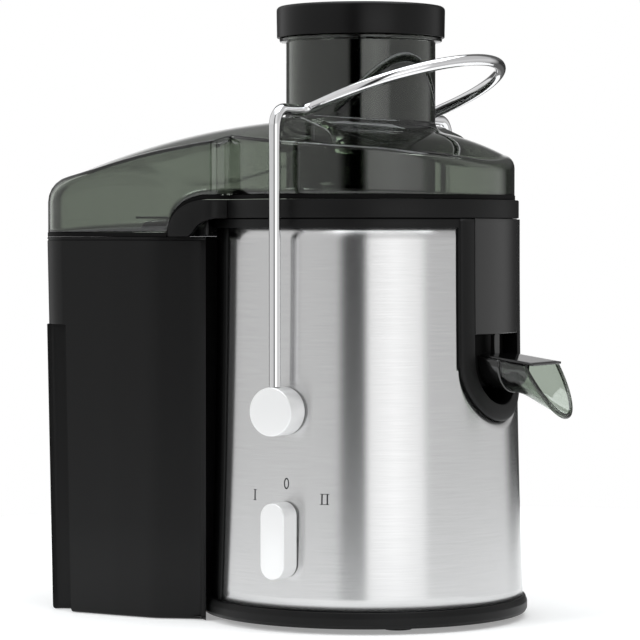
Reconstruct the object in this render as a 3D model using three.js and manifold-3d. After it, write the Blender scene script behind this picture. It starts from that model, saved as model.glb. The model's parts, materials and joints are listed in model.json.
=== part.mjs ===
// Centrifugal juicer: a motor base in a steel jacket, a strainer drum under a smoky lid with a
// feed chute, a pulp container beside it, and a chromed bail that locks the lid down.
// Millimetres, +Z up. The front, with the speed knob, faces -Y. The spout faces +X.
import * as THREE from 'three';
import { mergeVertices } from 'three/addons/utils/BufferGeometryUtils.js';
import Module from 'manifold-3d';

const wasm = await Module();
wasm.setup();

// ---- Driving dimensions ----

const GAP = 0.3;                // air left between pieces that touch
const ROUND = 32;               // sides of a large turned piece
const FINE = 12;                // sides of a small turned piece

const HEIGHT = 379;             // table to the top of the pusher's cap
const FOOT = 3;                 // table to the underside of the bottom cover
const SKIRT_TOP = 13;           // top of the cover's outer ring
const JACKET_TOP = 239;         // top edge of the steel jacket
const COLLAR_TOP = 248;         // top of the housing's collar
const WING_END = -86;           // where the wing of the bowl's rim meets the container
const RIM_TOP = 258.5;          // top of the bowl's rim, where the lid sits
const DECK = 116;               // underside of the deck over the motor

const SKIRT_R = 101.5;            // outer radius of the bottom ring
const JACKET_R = 94.4;          // jacket radius at its top edge
const JACKET_FLARE = 4.1;       // how much wider the jacket is at its bottom edge
const JACKET_T = 0.9;
const HOUSING_T = 2.4;
const LID_R = 93.2;
const JACKET_SWEEP = 120;       // degrees either side of +X that the jacket covers

const HOOD_END = -191;          // left end of the lid's hood over the pulp container
const HOOD_START = -47;
const HOOD_HALF = 93;
const HOOD_CORNER = 30;
const HOOD_BOTTOM = 236.5;
const LID_MIDDLE = -55.3;       // a point from which the whole outline of the lid can be seen
const ROOF_PEAK = 309.5;
const ROOF_PEAK_X = -25;

const CHUTE_X = -2;           // the chute stands a little towards the container
const CHUTE_R = 47.2;
const CHUTE_WALL = 2.5;
const CHUTE_BOTTOM = 214;
const CHUTE_TOP = 359.2;
const PUSHER_R = 43.4;
const CAP_R = 51.6;

const PIVOT_Z = 132;            // the bail's hinge
const DISC_R = 14.6;
const DISC_IN = 96.8;           // inner and outer faces of the pivot discs
const DISC_OUT = 112.8;
const BAIL_R = 3.5;
const BAIL_Y = 107.2;             // the two uprights
const BAIL_TOP = 312;
const BAIL_IN = 72;             // half the width of the bail's loop
const LOOP_REACH = 85;
const LOOP_SLOPE = 0.37;
const BAIL_SWING = 95;          // degrees the bail opens

const KNOB_Z = 55;
const KNOB_X = 1.4;
const KNOB_FRONT = 113.2;
const KNOB_BACK = 98.4;
const KNOB_WIDTH = 16.6;
const KNOB_LENGTH = 45.6;

const SLOT_HALF = 28;           // spout slot in the housing
const BEZEL_HALF = 38.2;
const SLOT_Z = 162;             // centre of the slot's round lower end
const BEZEL_PROUD = 2.3;
const APRON_BOTTOM = 177;

const BOWL_R = 87;
const BOWL_FLOOR = 144;
const SPOUT_TIP = 141;
const SPOUT_TOP = 157;
const SPOUT_HALF = 21;
const SPOUT_SLANT = 0.56;       // how far the mouth leans out for each millimetre down
const MOUTH_DROP = 30;
const SPOUT_FALL = 1.5;         // how far the channel falls on its way out

const CONTAINER_END = HOOD_END - 0.3;
const CONTAINER_START = -66;
const CONTAINER_HALF = HOOD_HALF + 0.4;
const CONTAINER_TOP = 236;
const CONTAINER_BAY_R = 104;    // hollow side that fits round the base
const CONTAINER_T = 2.2;
const CONTAINER_DRAFT = 4.5;
const GRIP_TOP = 181;
// The finger notch at each far corner, in plan, from the long side round to the end.
const GRIP_NOTCH = [[-165, 100], [-165, 92.6], [-173, 78.5], [-183, 82], [-188, 92], [-184, 100]];

const SHAFT_R = 4;
const BASKET_FLOOR = 197;
const BASKET_R = 52;
const BASKET_RIM_R = 83;
const BASKET_TOP = 256;

// The origin is the middle of the footprint, on the table.
const AXIS_X = -(CONTAINER_END + SPOUT_TIP) / 2;
const AXIS_Y = (KNOB_FRONT - DISC_OUT) / 2;

// ---- Materials ----

const finish = (color, roughness, metalness = 0) =>
  new THREE.MeshStandardMaterial({ color, roughness, metalness });
const BLACK = finish(0x1c1c1d, 0.55);
const CAP_BLACK = finish(0x18181a, 0.5);
const SMOKE = new THREE.MeshStandardMaterial({
  color: 0x4b564a, roughness: 0.08, transparent: true, opacity: 0.55,
});
const PALE_SMOKE = new THREE.MeshStandardMaterial({
  color: 0xa9bfa6, roughness: 0.08, transparent: true, opacity: 0.45,
});
const BRUSHED = finish(0xc9cacb, 0.32, 1);
const CHROME = finish(0xf2f2f2, 0.05, 1);
const SATIN = finish(0xd8d9da, 0.25, 1);
const STEEL = finish(0xb4b7ba, 0.35, 1);
const RUBBER = finish(0x141414, 0.9);
const LAMINATION = finish(0x5d6064, 0.6, 0.8);
const COPPER = finish(0xb06a35, 0.4, 0.9);
const BRASS = finish(0xb9974a, 0.4, 0.9);
const WHITE = finish(0xe4e4de, 0.5);
const GREY = finish(0x8c8f92, 0.5);

// ---- Solids ----

// A closed geometry as a solid, with its faces turned outwards.
function solid(geometry) {
  const bare = geometry.index ? geometry.toNonIndexed() : geometry.clone();
  bare.deleteAttribute('normal');
  bare.deleteAttribute('uv');
  const merged = mergeVertices(bare, 1e-3);
  const corners = [];
  for (let i = 0; i < merged.index.count; i += 3) {
    const [a, b, c] = merged.index.array.subarray(i, i + 3);
    if (a !== b && b !== c && c !== a) corners.push(a, b, c);
  }
  const vertProperties = new Float32Array(merged.attributes.position.array);
  const build = (triVerts) =>
    new wasm.Manifold(new wasm.Mesh({ numProp: 3, vertProperties, triVerts: new Uint32Array(triVerts) }));
  const made = build(corners);
  return made.volume() > 0 ? made : build(corners.reverse());
}

const join = (first, ...rest) => rest.reduce((sum, piece) => sum.add(piece), first);
const cut = (first, ...rest) => rest.reduce((left, piece) => left.subtract(piece), first);

// A profile of [radius, height] points turned about Z.
function latheGeometry(profile, sides = ROUND) {
  const points = profile.map(([r, z]) => new THREE.Vector2(r, z));
  return new THREE.LatheGeometry(points, sides).rotateX(Math.PI / 2);
}
const lathe = (profile, sides) => solid(latheGeometry(profile, sides));

// A ring, or a disc when inner is 0.
function ring(inner, outer, z0, z1, sides = ROUND) {
  const profile = [[inner, z0], [outer, z0], [outer, z1], [inner, z1]];
  return lathe(inner > 0 ? [...profile, profile[0]] : profile, sides);
}

// A shape of [a, b] points or a THREE.Shape, extruded along one axis between two planes.
// Along z the points are (x, y), along y they are (x, z), and along x they are (y, z).
function prism(outline, axis, from, to) {
  const shape = outline instanceof THREE.Shape
    ? outline
    : new THREE.Shape(outline.map(([a, b]) => new THREE.Vector2(a, b)));
  const settings = { depth: to - from, bevelEnabled: false, curveSegments: 8 };
  const geometry = new THREE.ExtrudeGeometry(shape, settings);
  if (axis === 'z') geometry.translate(0, 0, from);
  if (axis === 'y') geometry.rotateX(Math.PI / 2).translate(0, to, 0);
  if (axis === 'x') geometry.rotateX(Math.PI / 2).rotateZ(Math.PI / 2).translate(from, 0, 0);
  return solid(geometry);
}

function box(x0, x1, y0, y1, z0, z1) {
  const geometry = new THREE.BoxGeometry(x1 - x0, y1 - y0, z1 - z0);
  return solid(geometry.translate((x0 + x1) / 2, (y0 + y1) / 2, (z0 + z1) / 2));
}

// A turned piece whose profile of [radius, distance] points runs from a centre along a direction.
function turned(profile, centre, direction, sides = FINE) {
  const turn = new THREE.Quaternion().setFromUnitVectors(
    new THREE.Vector3(0, 0, 1),
    new THREE.Vector3(...direction).normalize(),
  );
  const geometry = latheGeometry(profile, sides).applyQuaternion(turn).translate(...centre);
  return solid(geometry);
}

function pin(radius, centre, direction, length, sides = FINE) {
  return turned([[0, 0], [radius, 0], [radius, length], [0, length]], centre, direction, sides);
}

function bushing(inner, outer, centre, direction, length, sides = FINE) {
  const profile = [[inner, 0], [outer, 0], [outer, length], [inner, length], [inner, 0]];
  return turned(profile, centre, direction, sides);
}

// A slot outline: half a circle at the bottom, straight sides up to a level.
function slotShape(half, centreZ, topZ) {
  const shape = new THREE.Shape();
  shape.moveTo(-half, topZ);
  shape.lineTo(-half, centreZ);
  shape.absarc(0, centreZ, half, Math.PI, 2 * Math.PI, false);
  shape.lineTo(half, topZ);
  return shape;
}

// ---- Plan outlines, as distances from their edge, negative inside ----

function roundedBox(x, y, x0, x1, half, corner) {
  const radius = Math.min(corner, half);
  const dx = Math.abs(x - (x0 + x1) / 2) - (x1 - x0) / 2 + radius;
  const dy = Math.abs(y) - half + radius;
  return Math.hypot(Math.max(dx, 0), Math.max(dy, 0)) + Math.min(Math.max(dx, dy), 0) - radius;
}

// The hood's far corners are broad, its near ones tight.
function hoodDistance(x, y) {
  const corner = x < (HOOD_END + HOOD_START) / 2 ? HOOD_CORNER : 12;
  return roundedBox(x, y, HOOD_END, HOOD_START, HOOD_HALF, corner);
}
const lidDistance = (x, y) => Math.min(Math.hypot(x, y) - LID_R, hoodDistance(x, y));

function containerDistance(x, y) {
  const corner = x < (CONTAINER_END + CONTAINER_START) / 2 ? HOOD_CORNER : 2;
  return roundedBox(x, y, CONTAINER_END, CONTAINER_START, CONTAINER_HALF, corner);
}

// How far a ray from (centreX, 0) at an angle runs before it meets the outline's level.
function reach(distance, centreX, angle, level) {
  let [near, far] = [0, 300];
  for (let i = 0; i < 40; i += 1) {
    const middle = (near + far) / 2;
    const inside = distance(centreX + middle * Math.cos(angle), middle * Math.sin(angle)) < level;
    [near, far] = inside ? [middle, far] : [near, middle];
  }
  return near;
}

// A closed body on a plan outline: rows of [share of the reach, level, height], where height
// is a number or a function of x and y.
function outlineBody(distance, centreX, rows, sides = 40) {
  const geometry = latheGeometry(rows.map((row, i) => [i === 0 || i === rows.length - 1 ? 0 : 1, i]), sides);
  const place = geometry.attributes.position;
  for (let i = 0; i < place.count; i += 1) {
    const [share, level, height] = rows[Math.round(place.getZ(i))];
    const angle = Math.atan2(place.getY(i), place.getX(i));
    const length = share * reach(distance, centreX, angle, level);
    const [x, y] = [centreX + length * Math.cos(angle), length * Math.sin(angle)];
    place.setXYZ(i, x, y, typeof height === 'function' ? height(x, y) : height);
  }
  return solid(geometry);
}

// A slab with the lid's outline, grown by a margin.
const outlineSlab = (margin, z0, z1) => outlineBody(lidDistance, LID_MIDDLE, [
  [0, margin, z0], [1, margin, z0], [1, margin, z1], [0, margin, z1],
]);

// ---- Shared shapes ----

const jacketRadius = (z) => JACKET_R + JACKET_FLARE * ((JACKET_TOP - z) / (JACKET_TOP - SKIRT_TOP)) ** 2;

// Heights at which a flared wall changes slope.
const FLARE_STEPS = [SKIRT_TOP + GAP, 70, 140, JACKET_TOP];

function flaredShell(outerInset, innerInset, steps = FLARE_STEPS) {
  const outer = steps.map((z) => [jacketRadius(z) - outerInset, z]);
  const inner = steps.map((z) => [jacketRadius(z) - innerInset, z]).reverse();
  return lathe([...outer, ...inner, outer[0]]);
}

// The roof falls away on both sides of its ridge and to both ends.
function roof(drop) {
  return (x, y) => {
    const fall = x > ROOF_PEAK_X ? 0.0017 : 0.0012;
    return ROOF_PEAK - drop - fall * (x - ROOF_PEAK_X) ** 2 - 0.0018 * y ** 2;
  };
}

// The wing of the bowl's rim sweeps down to the pulp container. Its upper edge, as [x, z].
function wingCurve(startX, startZ, endX, endZ, steps = 8) {
  return Array.from({ length: steps + 1 }, (_, i) => {
    const angle = (i / steps) * (Math.PI / 2);
    return [startX + (endX - startX) * Math.sin(angle), endZ + (startZ - endZ) * Math.cos(angle)];
  });
}

// ---- Base ----

function bottomCover() {
  const body = lathe([
    [0, FOOT], [SKIRT_R - 1.5, FOOT], [SKIRT_R, 4.5], [SKIRT_R, 9.5], [SKIRT_R - 1.2, SKIRT_TOP],
    [84, SKIRT_TOP], [84, 6], [0, 6],
  ]);
  const slots = [];
  for (let i = 0; i < 7; i += 1) slots.push(box(-30, 30, -33 + i * 11, -29 + i * 11, 0, 8));
  const footPockets = footPlaces().map(([x, y]) => pin(9.5, [x, y, 0], [0, 0, 1], 4));
  const screwHoles = screwPlaces().flatMap(([x, y]) => [
    pin(4.5, [x, y, 0], [0, 0, 1], 6.3, 12),
    pin(2.4, [x, y, 0], [0, 0, 1], 20, 8),
  ]);
  return cut(body, ...slots, ...footPockets, ...screwHoles);
}

const diagonal = (radius, degrees) => {
  const angle = THREE.MathUtils.degToRad(degrees);
  return [radius * Math.cos(angle), radius * Math.sin(angle)];
};
const CORNERS = { rear_right: 45, rear_left: 135, front_left: 225, front_right: 315 };
const footPlaces = () => Object.values(CORNERS).map((degrees) => diagonal(76, degrees));
const screwPlaces = () => Object.values(CORNERS).map((degrees) => diagonal(90, degrees + 20));
const damperPlaces = () => Object.values(CORNERS).map((degrees) => diagonal(48, degrees));

const foot = () => lathe([[0, 0], [8.2, 0], [9, 0.8], [9, 3.7], [0, 3.7]], FINE);
const baseScrew = () => lathe([[0, 3.8], [4, 3.8], [4, 6], [2, 6], [2, 24], [0, 24]], 8);

function housing() {
  const inner = HOUSING_T + JACKET_T + 0.2;
  const wall = flaredShell(JACKET_T + 0.2, inner);
  const collar = ring(JACKET_R - inner, JACKET_R + 0.8, JACKET_TOP + GAP - 1, COLLAR_TOP);
  const deck = lathe([
    [13, DECK], [jacketRadius(DECK) - inner + 1, DECK], [jacketRadius(DECK) - inner + 1, DECK + 3],
    [24, DECK + 3], [20, DECK + 12], [13, DECK + 12], [13, DECK],
  ]);
  const bosses = screwPlaces().map(([x, y]) => pin(6, [x, y, SKIRT_TOP + GAP], [0, 0, 1], 30, 12));
  const bores = screwPlaces().map(([x, y]) => pin(2.4, [x, y, 0], [0, 0, 1], 26, 8));
  const bezelBand = flaredShell(-BEZEL_PROUD, inner, [118, 150, 200, COLLAR_TOP - 0.2]);
  const bezel = bezelBand.intersect(prism(slotShape(BEZEL_HALF, SLOT_Z, COLLAR_TOP - 0.2), 'x', 60, 120));
  const slot = prism(slotShape(SLOT_HALF, SLOT_Z, COLLAR_TOP + 10), 'x', 60, 130);
  const passages = [
    pin(7.6, [0, -120, PIVOT_Z], [0, 1, 0], 45),
    pin(7.6, [0, 75, PIVOT_Z], [0, 1, 0], 45),
    pin(5, [KNOB_X, -120, KNOB_Z], [0, 1, 0], 45),
    pin(7.4, [GLAND_X, 75, GLAND_Z], [0, 1, 0], 45),
  ];
  return cut(join(wall, collar, deck, ...bosses, bezel), slot, ...bores, ...passages);
}

const GLAND_X = 0;
const GLAND_Z = 28;

function steelJacket() {
  const band = flaredShell(0, JACKET_T, [SKIRT_TOP + GAP, 70, 140, JACKET_TOP - 1]);
  const gapAngle = THREE.MathUtils.degToRad(JACKET_SWEEP);
  const wedge = [[0, 0], [150 * Math.cos(gapAngle), 150 * Math.sin(gapAngle)], [-200, 200], [-200, -200],
    [150 * Math.cos(gapAngle), -150 * Math.sin(gapAngle)]];
  return cut(
    band,
    prism(wedge, 'z', 0, 260),
    prism(slotShape(BEZEL_HALF + 0.4, SLOT_Z, 260), 'x', 60, 120),
    pin(7.6, [0, -120, PIVOT_Z], [0, 1, 0], 45),
    pin(7.6, [0, 75, PIVOT_Z], [0, 1, 0], 45),
    pin(5, [KNOB_X, -120, KNOB_Z], [0, 1, 0], 45),
    pin(7.4, [GLAND_X, 75, GLAND_Z], [0, 1, 0], 45),
  );
}

function cordGland() {
  const surface = Math.sqrt(jacketRadius(GLAND_Z) ** 2 - GLAND_X ** 2);
  const profile = [[3.6, -8], [6.5, -8], [6.5, 1.2], [9, 1.2], [8, 3.4], [3.6, 4.2], [3.6, -8]];
  return turned(profile, [GLAND_X, surface, GLAND_Z], [0, 1, 0]);
}

// ---- Motor and drive ----

const MOTOR = {
  lowerBracket: 38, fanBottom: 21, stator: 60, statorTop: 92, upperBracket: 104,
};

function bracket(z, width) {
  const plate = box(-width, width, -14, 14, z, z + 3);
  const cross = box(-14, 14, -width, width, z, z + 3);
  const seat = ring(0, 15, z - 4, z + 3, FINE);
  const bore = ring(0, 11.3, z - 5, z + 0.5, FINE);
  const passage = ring(0, SHAFT_R + 1, z - 6, z + 6, FINE);
  return cut(join(plate, cross, seat), bore, passage);
}

function upperBracket() {
  const arms = damperPlaces().map(([x, y]) => pin(8, [x, y, MOTOR.upperBracket], [0, 0, 1], 3));
  const plate = box(-36, 36, -36, 36, MOTOR.upperBracket, MOTOR.upperBracket + 3);
  return join(bracket(MOTOR.upperBracket, 36).add(cut(plate, ring(0, 16, 90, 120, FINE))), ...arms);
}

const damper = () => ring(2, 6.5, MOTOR.upperBracket + 3 + GAP, DECK - GAP, 16);
const bearing = (z) => ring(SHAFT_R + 0.3, 11, z - 4.6, z + 0.2, FINE);

function statorCore() {
  const outer = box(-40, 40, -34, 34, MOTOR.stator, MOTOR.statorTop);
  const bore = ring(0, 25, MOTOR.stator - 1, MOTOR.statorTop + 1, 32);
  const windows = [-1, 1].map((side) => box(-22, 22, side * 24 - 5, side * 24 + 5, 50, 100));
  return cut(outer, bore, ...windows);
}

function fieldCoil(side) {
  const y = side * 24;
  const outer = box(-21.3, 21.3, y - 4.5, y + 4.5, MOTOR.stator - 8, MOTOR.statorTop + 8);
  const window = box(-15.7, 15.7, y - 5, y + 5, MOTOR.stator - 2, MOTOR.statorTop + 2);
  return cut(outer, window);
}

// Each brush slides in its holder and bears on the commutator.
function brushHolder(side) {
  const tube = box(side * 30 - 12, side * 30 + 12, -5, 5, 46, 56);
  return cut(tube, box(side * 30 - 13, side * 30 + 13, -3, 3, 48, 54));
}
const carbonBrush = (side) => box(side * 24 - 10.4, side * 24 + 10.4, -2.7, 2.7, 48.3, 53.7);

const motorShaft = () => lathe([[0, 20], [SHAFT_R, 20], [SHAFT_R, 183], [SHAFT_R - 1, 184], [0, 184]], 16);
const sleeve = (outer, z0, z1, sides) => ring(SHAFT_R + GAP, outer, z0, z1, sides);

function armature() {
  const slots = Array.from({ length: 8 }, (_, i) => {
    const [x, y] = diagonal(23.2, i * 45);
    return pin(2.2, [x, y, MOTOR.stator - 1], [0, 0, 1], 40, 6);
  });
  return cut(sleeve(24, MOTOR.stator, MOTOR.statorTop, 32), ...slots);
}

function coolingFan() {
  const blades = Array.from({ length: 9 }, (_, i) => {
    const blade = new THREE.BoxGeometry(26, 1.6, 9).translate(25, 0, MOTOR.fanBottom + 6);
    return solid(blade.rotateZ((i / 9) * 2 * Math.PI));
  });
  const plate = ring(SHAFT_R + GAP, 38, MOTOR.fanBottom, MOTOR.fanBottom + 2, 36);
  return join(plate, sleeve(13, MOTOR.fanBottom, MOTOR.fanBottom + 10.5, FINE), ...blades);
}

function driveCoupling() {
  const teeth = Array.from({ length: 6 }, (_, i) => {
    const tooth = new THREE.BoxGeometry(6, 4, 20).translate(11.5, 0, 172);
    return solid(tooth.rotateZ((i / 6) * 2 * Math.PI));
  });
  return join(sleeve(11, 150, 182, 30), sleeve(17, 150, 160, 30), ...teeth);
}

const shaftSeal = () => lathe([
  [SHAFT_R + 0.6, 126], [12.6, 126], [12.6, 131], [8, 136], [SHAFT_R + 0.6, 136], [SHAFT_R + 0.6, 126],
], FINE);

// ---- Switches ----

const rotarySwitch = () => cut(
  box(KNOB_X - 13, KNOB_X + 13, -91, -76, KNOB_Z - 13, KNOB_Z + 13),
  pin(3.3, [KNOB_X, -92, KNOB_Z], [0, 1, 0], 9),
);
const knobSpindle = () => pin(3, [KNOB_X, -109.5, KNOB_Z], [0, 1, 0], 25);

function speedKnob() {
  const shape = new THREE.Shape();
  const [half, reachZ] = [KNOB_WIDTH / 2, KNOB_LENGTH / 2 - KNOB_WIDTH / 2];
  shape.absarc(KNOB_X, KNOB_Z + reachZ, half, 0, Math.PI, false);
  shape.absarc(KNOB_X, KNOB_Z - reachZ, half, Math.PI, 2 * Math.PI, false);
  const body = prism(shape, 'y', -KNOB_FRONT, -KNOB_BACK);
  return cut(body, pin(3.3, [KNOB_X, -110, KNOB_Z], [0, 1, 0], 20));
}

const MICRO = { x0: 14.5, x1: 32, y0: -85, y1: -78, z0: 121, z1: 138 };
const microSwitch = () => cut(
  box(MICRO.x0, MICRO.x1, MICRO.y0, MICRO.y1, MICRO.z0, MICRO.z1),
  box(MICRO.x0 - 1, MICRO.x0 + 5, -84, -79.5, PIVOT_Z - 2.5, PIVOT_Z + 2.5),
);
const CAM_HIGH = 9;
const CAM_LIFT = 2;
const interlockPlunger = () => box(CAM_HIGH + GAP, MICRO.x0 + 2.5, -83.5, -80, PIVOT_Z - 2, PIVOT_Z + 2);

// The cam's radius falls evenly over the bail's swing, so the plunger's travel is in proportion.
function interlockCam() {
  const count = 36;
  const outline = Array.from({ length: count }, (_, i) => {
    const degrees = (i / count) * 360;
    const falling = CAM_HIGH - CAM_LIFT * Math.min(degrees / BAIL_SWING, 1);
    const rising = CAM_HIGH - CAM_LIFT * Math.min((360 - 30 - degrees) / 120, 1);
    const radius = degrees < 180 ? falling : Math.min(CAM_HIGH, Math.max(rising, CAM_HIGH - CAM_LIFT));
    const angle = THREE.MathUtils.degToRad(degrees);
    return [radius * Math.cos(angle), PIVOT_Z + radius * Math.sin(angle)];
  });
  return cut(prism(outline, 'y', -85, -79), pin(4.3, [0, -90, PIVOT_Z], [0, 1, 0], 20, FINE));
}

const terminalBlock = () => box(48, 72, -12, 12, 20, 34);
const capacitor = () => box(-72, -58, -14, 14, 20, 38);

// ---- Bail ----

// A line through corner points, with each corner rounded to its radius.
function bentPath(corners, radii) {
  const path = new THREE.CurvePath();
  let start = corners[0];
  for (let i = 1; i < corners.length - 1; i += 1) {
    const before = corners[i - 1].clone().sub(corners[i]).normalize();
    const after = corners[i + 1].clone().sub(corners[i]).normalize();
    const turn = Math.PI - before.angleTo(after);
    const setback = radii[i - 1] * Math.tan(turn / 2);
    const handle = setback - radii[i - 1] * (4 / 3) * Math.tan(turn / 4);
    const point = (along, distance) => corners[i].clone().addScaledVector(along, distance);
    if (point(before, setback).distanceTo(start) > 0.01) {
      path.add(new THREE.LineCurve3(start, point(before, setback)));
    }
    path.add(new THREE.CubicBezierCurve3(
      point(before, setback), point(before, handle), point(after, handle), point(after, setback),
    ));
    start = point(after, setback);
  }
  path.add(new THREE.LineCurve3(start, corners[corners.length - 1]));
  return path;
}

function bail() {
  const end = PIVOT_Z + DISC_R + GAP;
  const loopTop = BAIL_TOP + LOOP_REACH * LOOP_SLOPE;
  const half = [
    [0, BAIL_Y, end], [0, BAIL_Y, BAIL_TOP], [0, BAIL_IN, BAIL_TOP], [LOOP_REACH, BAIL_IN, loopTop],
  ];
  const front = half.map(([x, y, z]) => new THREE.Vector3(x, -y, z));
  const rear = half.map(([x, y, z]) => new THREE.Vector3(x, y, z)).reverse();
  const path = bentPath([...front, ...rear], [11, 6, BAIL_IN - 0.2, BAIL_IN - 0.2, 6, 11]);
  const section = new THREE.Shape().absarc(0, 0, BAIL_R, 0, 2 * Math.PI);
  return solid(new THREE.ExtrudeGeometry(section, { extrudePath: path, steps: 72, curveSegments: 4 }));
}

function pivotDisc(side) {
  const depth = DISC_OUT - DISC_IN;
  const profile = [
    [0, 0], [DISC_R - 0.8, 0], [DISC_R, 0.8], [DISC_R, depth - 1], [DISC_R - 1, depth], [0, depth],
  ];
  return turned(profile, [0, side * DISC_IN, PIVOT_Z], [0, side, 0], 20);
}

// The front pin is the longer one, because it carries the cam.
function pivotPin(side) {
  const inner = side < 0 ? 78 : 84;
  return pin(4, [0, side * inner, PIVOT_Z], [0, side, 0], DISC_IN - GAP - inner, 16);
}

const pivotBush = (side) => bushing(4.3, 7.2, [0, side * 90, PIVOT_Z], [0, side, 0], 6.5);

// ---- Bowl, strainer, lid, pusher ----

function juiceBowl() {
  const vessel = lathe([
    [20, BOWL_FLOOR], [BOWL_R - 6, BOWL_FLOOR], [BOWL_R, BOWL_FLOOR + 6], [BOWL_R, COLLAR_TOP + 2.5],
    [BOWL_R - 2, COLLAR_TOP + 2.5],
    [BOWL_R - 2, BOWL_FLOOR + 7], [BOWL_R - 7, BOWL_FLOOR + 2.4], [24.5, BOWL_FLOOR + 2.4], [24.5, 189],
    [22.4, 189], [22.4, BOWL_FLOOR + 2.4], [20, BOWL_FLOOR + 2.4], [20, BOWL_FLOOR],
  ]);
  const flange = ring(BOWL_R - 1, 95, COLLAR_TOP + GAP, COLLAR_TOP + 2.5);
  const band = cut(
    outlineSlab(2.6, HOOD_BOTTOM, RIM_TOP),
    outlineSlab(-1.5, 200, 300),
  );
  const low = COLLAR_TOP + GAP;
  const face = [
    ...wingCurve(-60, RIM_TOP, WING_END, HOOD_BOTTOM),
    ...wingCurve(-50, low, WING_END + 17, HOOD_BOTTOM).reverse(),
    [110, low], [110, RIM_TOP],
  ];
  const rim = band.intersect(prism(face, 'y', -110, 110));
  const apronBand = flaredShell(0.1 - BEZEL_PROUD, 2.4 - BEZEL_PROUD, [APRON_BOTTOM, 215, COLLAR_TOP + 2]);
  const apron = apronBand.intersect(box(60, 120, GAP - SLOT_HALF, SLOT_HALF - GAP, APRON_BOTTOM, 260));
  const lip = pulpLip();
  const outlet = box(60, 96, -17, 17, BOWL_FLOOR + 2.6, BOWL_FLOOR + 14);
  return cut(join(vessel, flange, rim, apron, lip), outlet);
}

// A shelf that carries pulp from the strainer's edge to over the container.
function pulpLip() {
  const shelf = box(-112, -30, -84, 84, COLLAR_TOP - 1.2 + 1.6, COLLAR_TOP + 2.5);
  const inside = outlineSlab(-3, 240, 256);
  return cut(shelf.intersect(inside), ring(0, BOWL_R - 1, 230, 270));
}

function spout() {
  const steps = 12;
  const arc = (grow) => Array.from({ length: steps + 1 }, (_, i) => {
    const angle = (i / steps) * Math.PI;
    return [(SPOUT_HALF + grow) * Math.cos(angle), -(20 + grow) * Math.sin(angle)];
  });
  const outline = [...arc(0), ...arc(-2).reverse()].map(([a, b]) => new THREE.Vector2(a, b));
  const section = new THREE.Shape(outline);
  const start = 90.5;
  const length = SPOUT_TIP - start - (MOUTH_DROP + SPOUT_FALL) * SPOUT_SLANT;
  const geometry = new THREE.ExtrudeGeometry(section, { depth: length, bevelEnabled: false, steps: 8 });
  geometry.rotateX(Math.PI / 2).rotateZ(Math.PI / 2);
  const place = geometry.attributes.position;
  for (let i = 0; i < place.count; i += 1) {
    const share = place.getX(i) / length;
    const flare = Math.max(0, (share - 0.55) / 0.45) ** 2;
    const drop = place.getZ(i) * (1 + flare * (MOUTH_DROP / 20 - 1)) - share * SPOUT_FALL;
    const width = place.getY(i) * (1 + flare * 0.08);
    place.setXYZ(i, start + share * (length - drop * SPOUT_SLANT * flare), width, SPOUT_TOP + drop);
  }
  const cover = box(99.5, 119, -SPOUT_HALF + 0.6, SPOUT_HALF - 0.6, SPOUT_TOP - 1.2, SPOUT_TOP + 1);
  return join(solid(geometry), cover);
}

function strainerBasket() {
  const t = 1.3;
  return lathe([
    [19.5, 166], [21.5, 166], [21.5, BASKET_FLOOR], [BASKET_R, BASKET_FLOOR], [79, 251], [BASKET_RIM_R, 252],
    [BASKET_RIM_R, BASKET_TOP], [80, BASKET_TOP], [79 - t, 253], [BASKET_R - t, BASKET_FLOOR + 2],
    [0, BASKET_FLOOR + 2], [0, BASKET_FLOOR - 8], [19.5, BASKET_FLOOR - 8], [19.5, 166],
  ]);
}

function graterDisc() {
  const plate = ring(0, BASKET_R - 4, BASKET_FLOOR + 2 + GAP, BASKET_FLOOR + 3.5, 48);
  const teeth = Array.from({ length: 20 }, (_, i) => {
    const [x, y] = diagonal(12 + 8 * (i % 4), i * 54 + 7);
    const tooth = new THREE.ConeGeometry(1.6, 3.2, 4).rotateX(Math.PI / 2);
    return solid(tooth.translate(x, y, BASKET_FLOOR + 4.8));
  });
  return join(plate, ...teeth);
}

function lid() {
  const outer = outlineBody(lidDistance, LID_MIDDLE, [
    [0, 0, HOOD_BOTTOM], [1, 0, HOOD_BOTTOM], [1, 0, roof(13)], [1, -1.5, roof(7)], [1, -5, roof(2.4)],
    [1, -10, roof(0.5)], [0.72, 0, roof(0)], [0.5, 0, roof(0)], [0.25, 0, roof(0)], [0, 0, roof(0)],
  ]);
  const inner = outlineBody(lidDistance, LID_MIDDLE, [
    [0, -2.5, HOOD_BOTTOM - 1], [1, -2.5, HOOD_BOTTOM - 1], [1, -2.5, roof(14)], [1, -4, roof(9)],
    [1, -8, roof(4.5)], [0.72, 0, roof(2.5)], [0.4, 0, roof(2.5)], [0, 0, roof(2.5)],
  ]);
  const bore = ring(0, CHUTE_R - CHUTE_WALL, CHUTE_BOTTOM - 5, CHUTE_TOP + 5).translate([CHUTE_X, 0, 0]);
  const tube = lathe([
    [0, CHUTE_BOTTOM], [CHUTE_R, CHUTE_BOTTOM], [CHUTE_R, CHUTE_TOP - 4], [CHUTE_R + 2, CHUTE_TOP - 2.4],
    [CHUTE_R + 2, CHUTE_TOP], [0, CHUTE_TOP],
  ]).translate([CHUTE_X, 0, 0]);
  const underRim = [
    ...wingCurve(-60, RIM_TOP + GAP, WING_END - 0.6, HOOD_BOTTOM + GAP),
    [WING_END - 0.6, HOOD_BOTTOM - 2], [120, HOOD_BOTTOM - 2], [120, RIM_TOP + GAP],
  ];
  const shell = cut(outer, inner, prism(underRim, 'y', -110, 110));
  return cut(join(shell, tube, ear(-1), ear(1)), bore);
}

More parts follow.
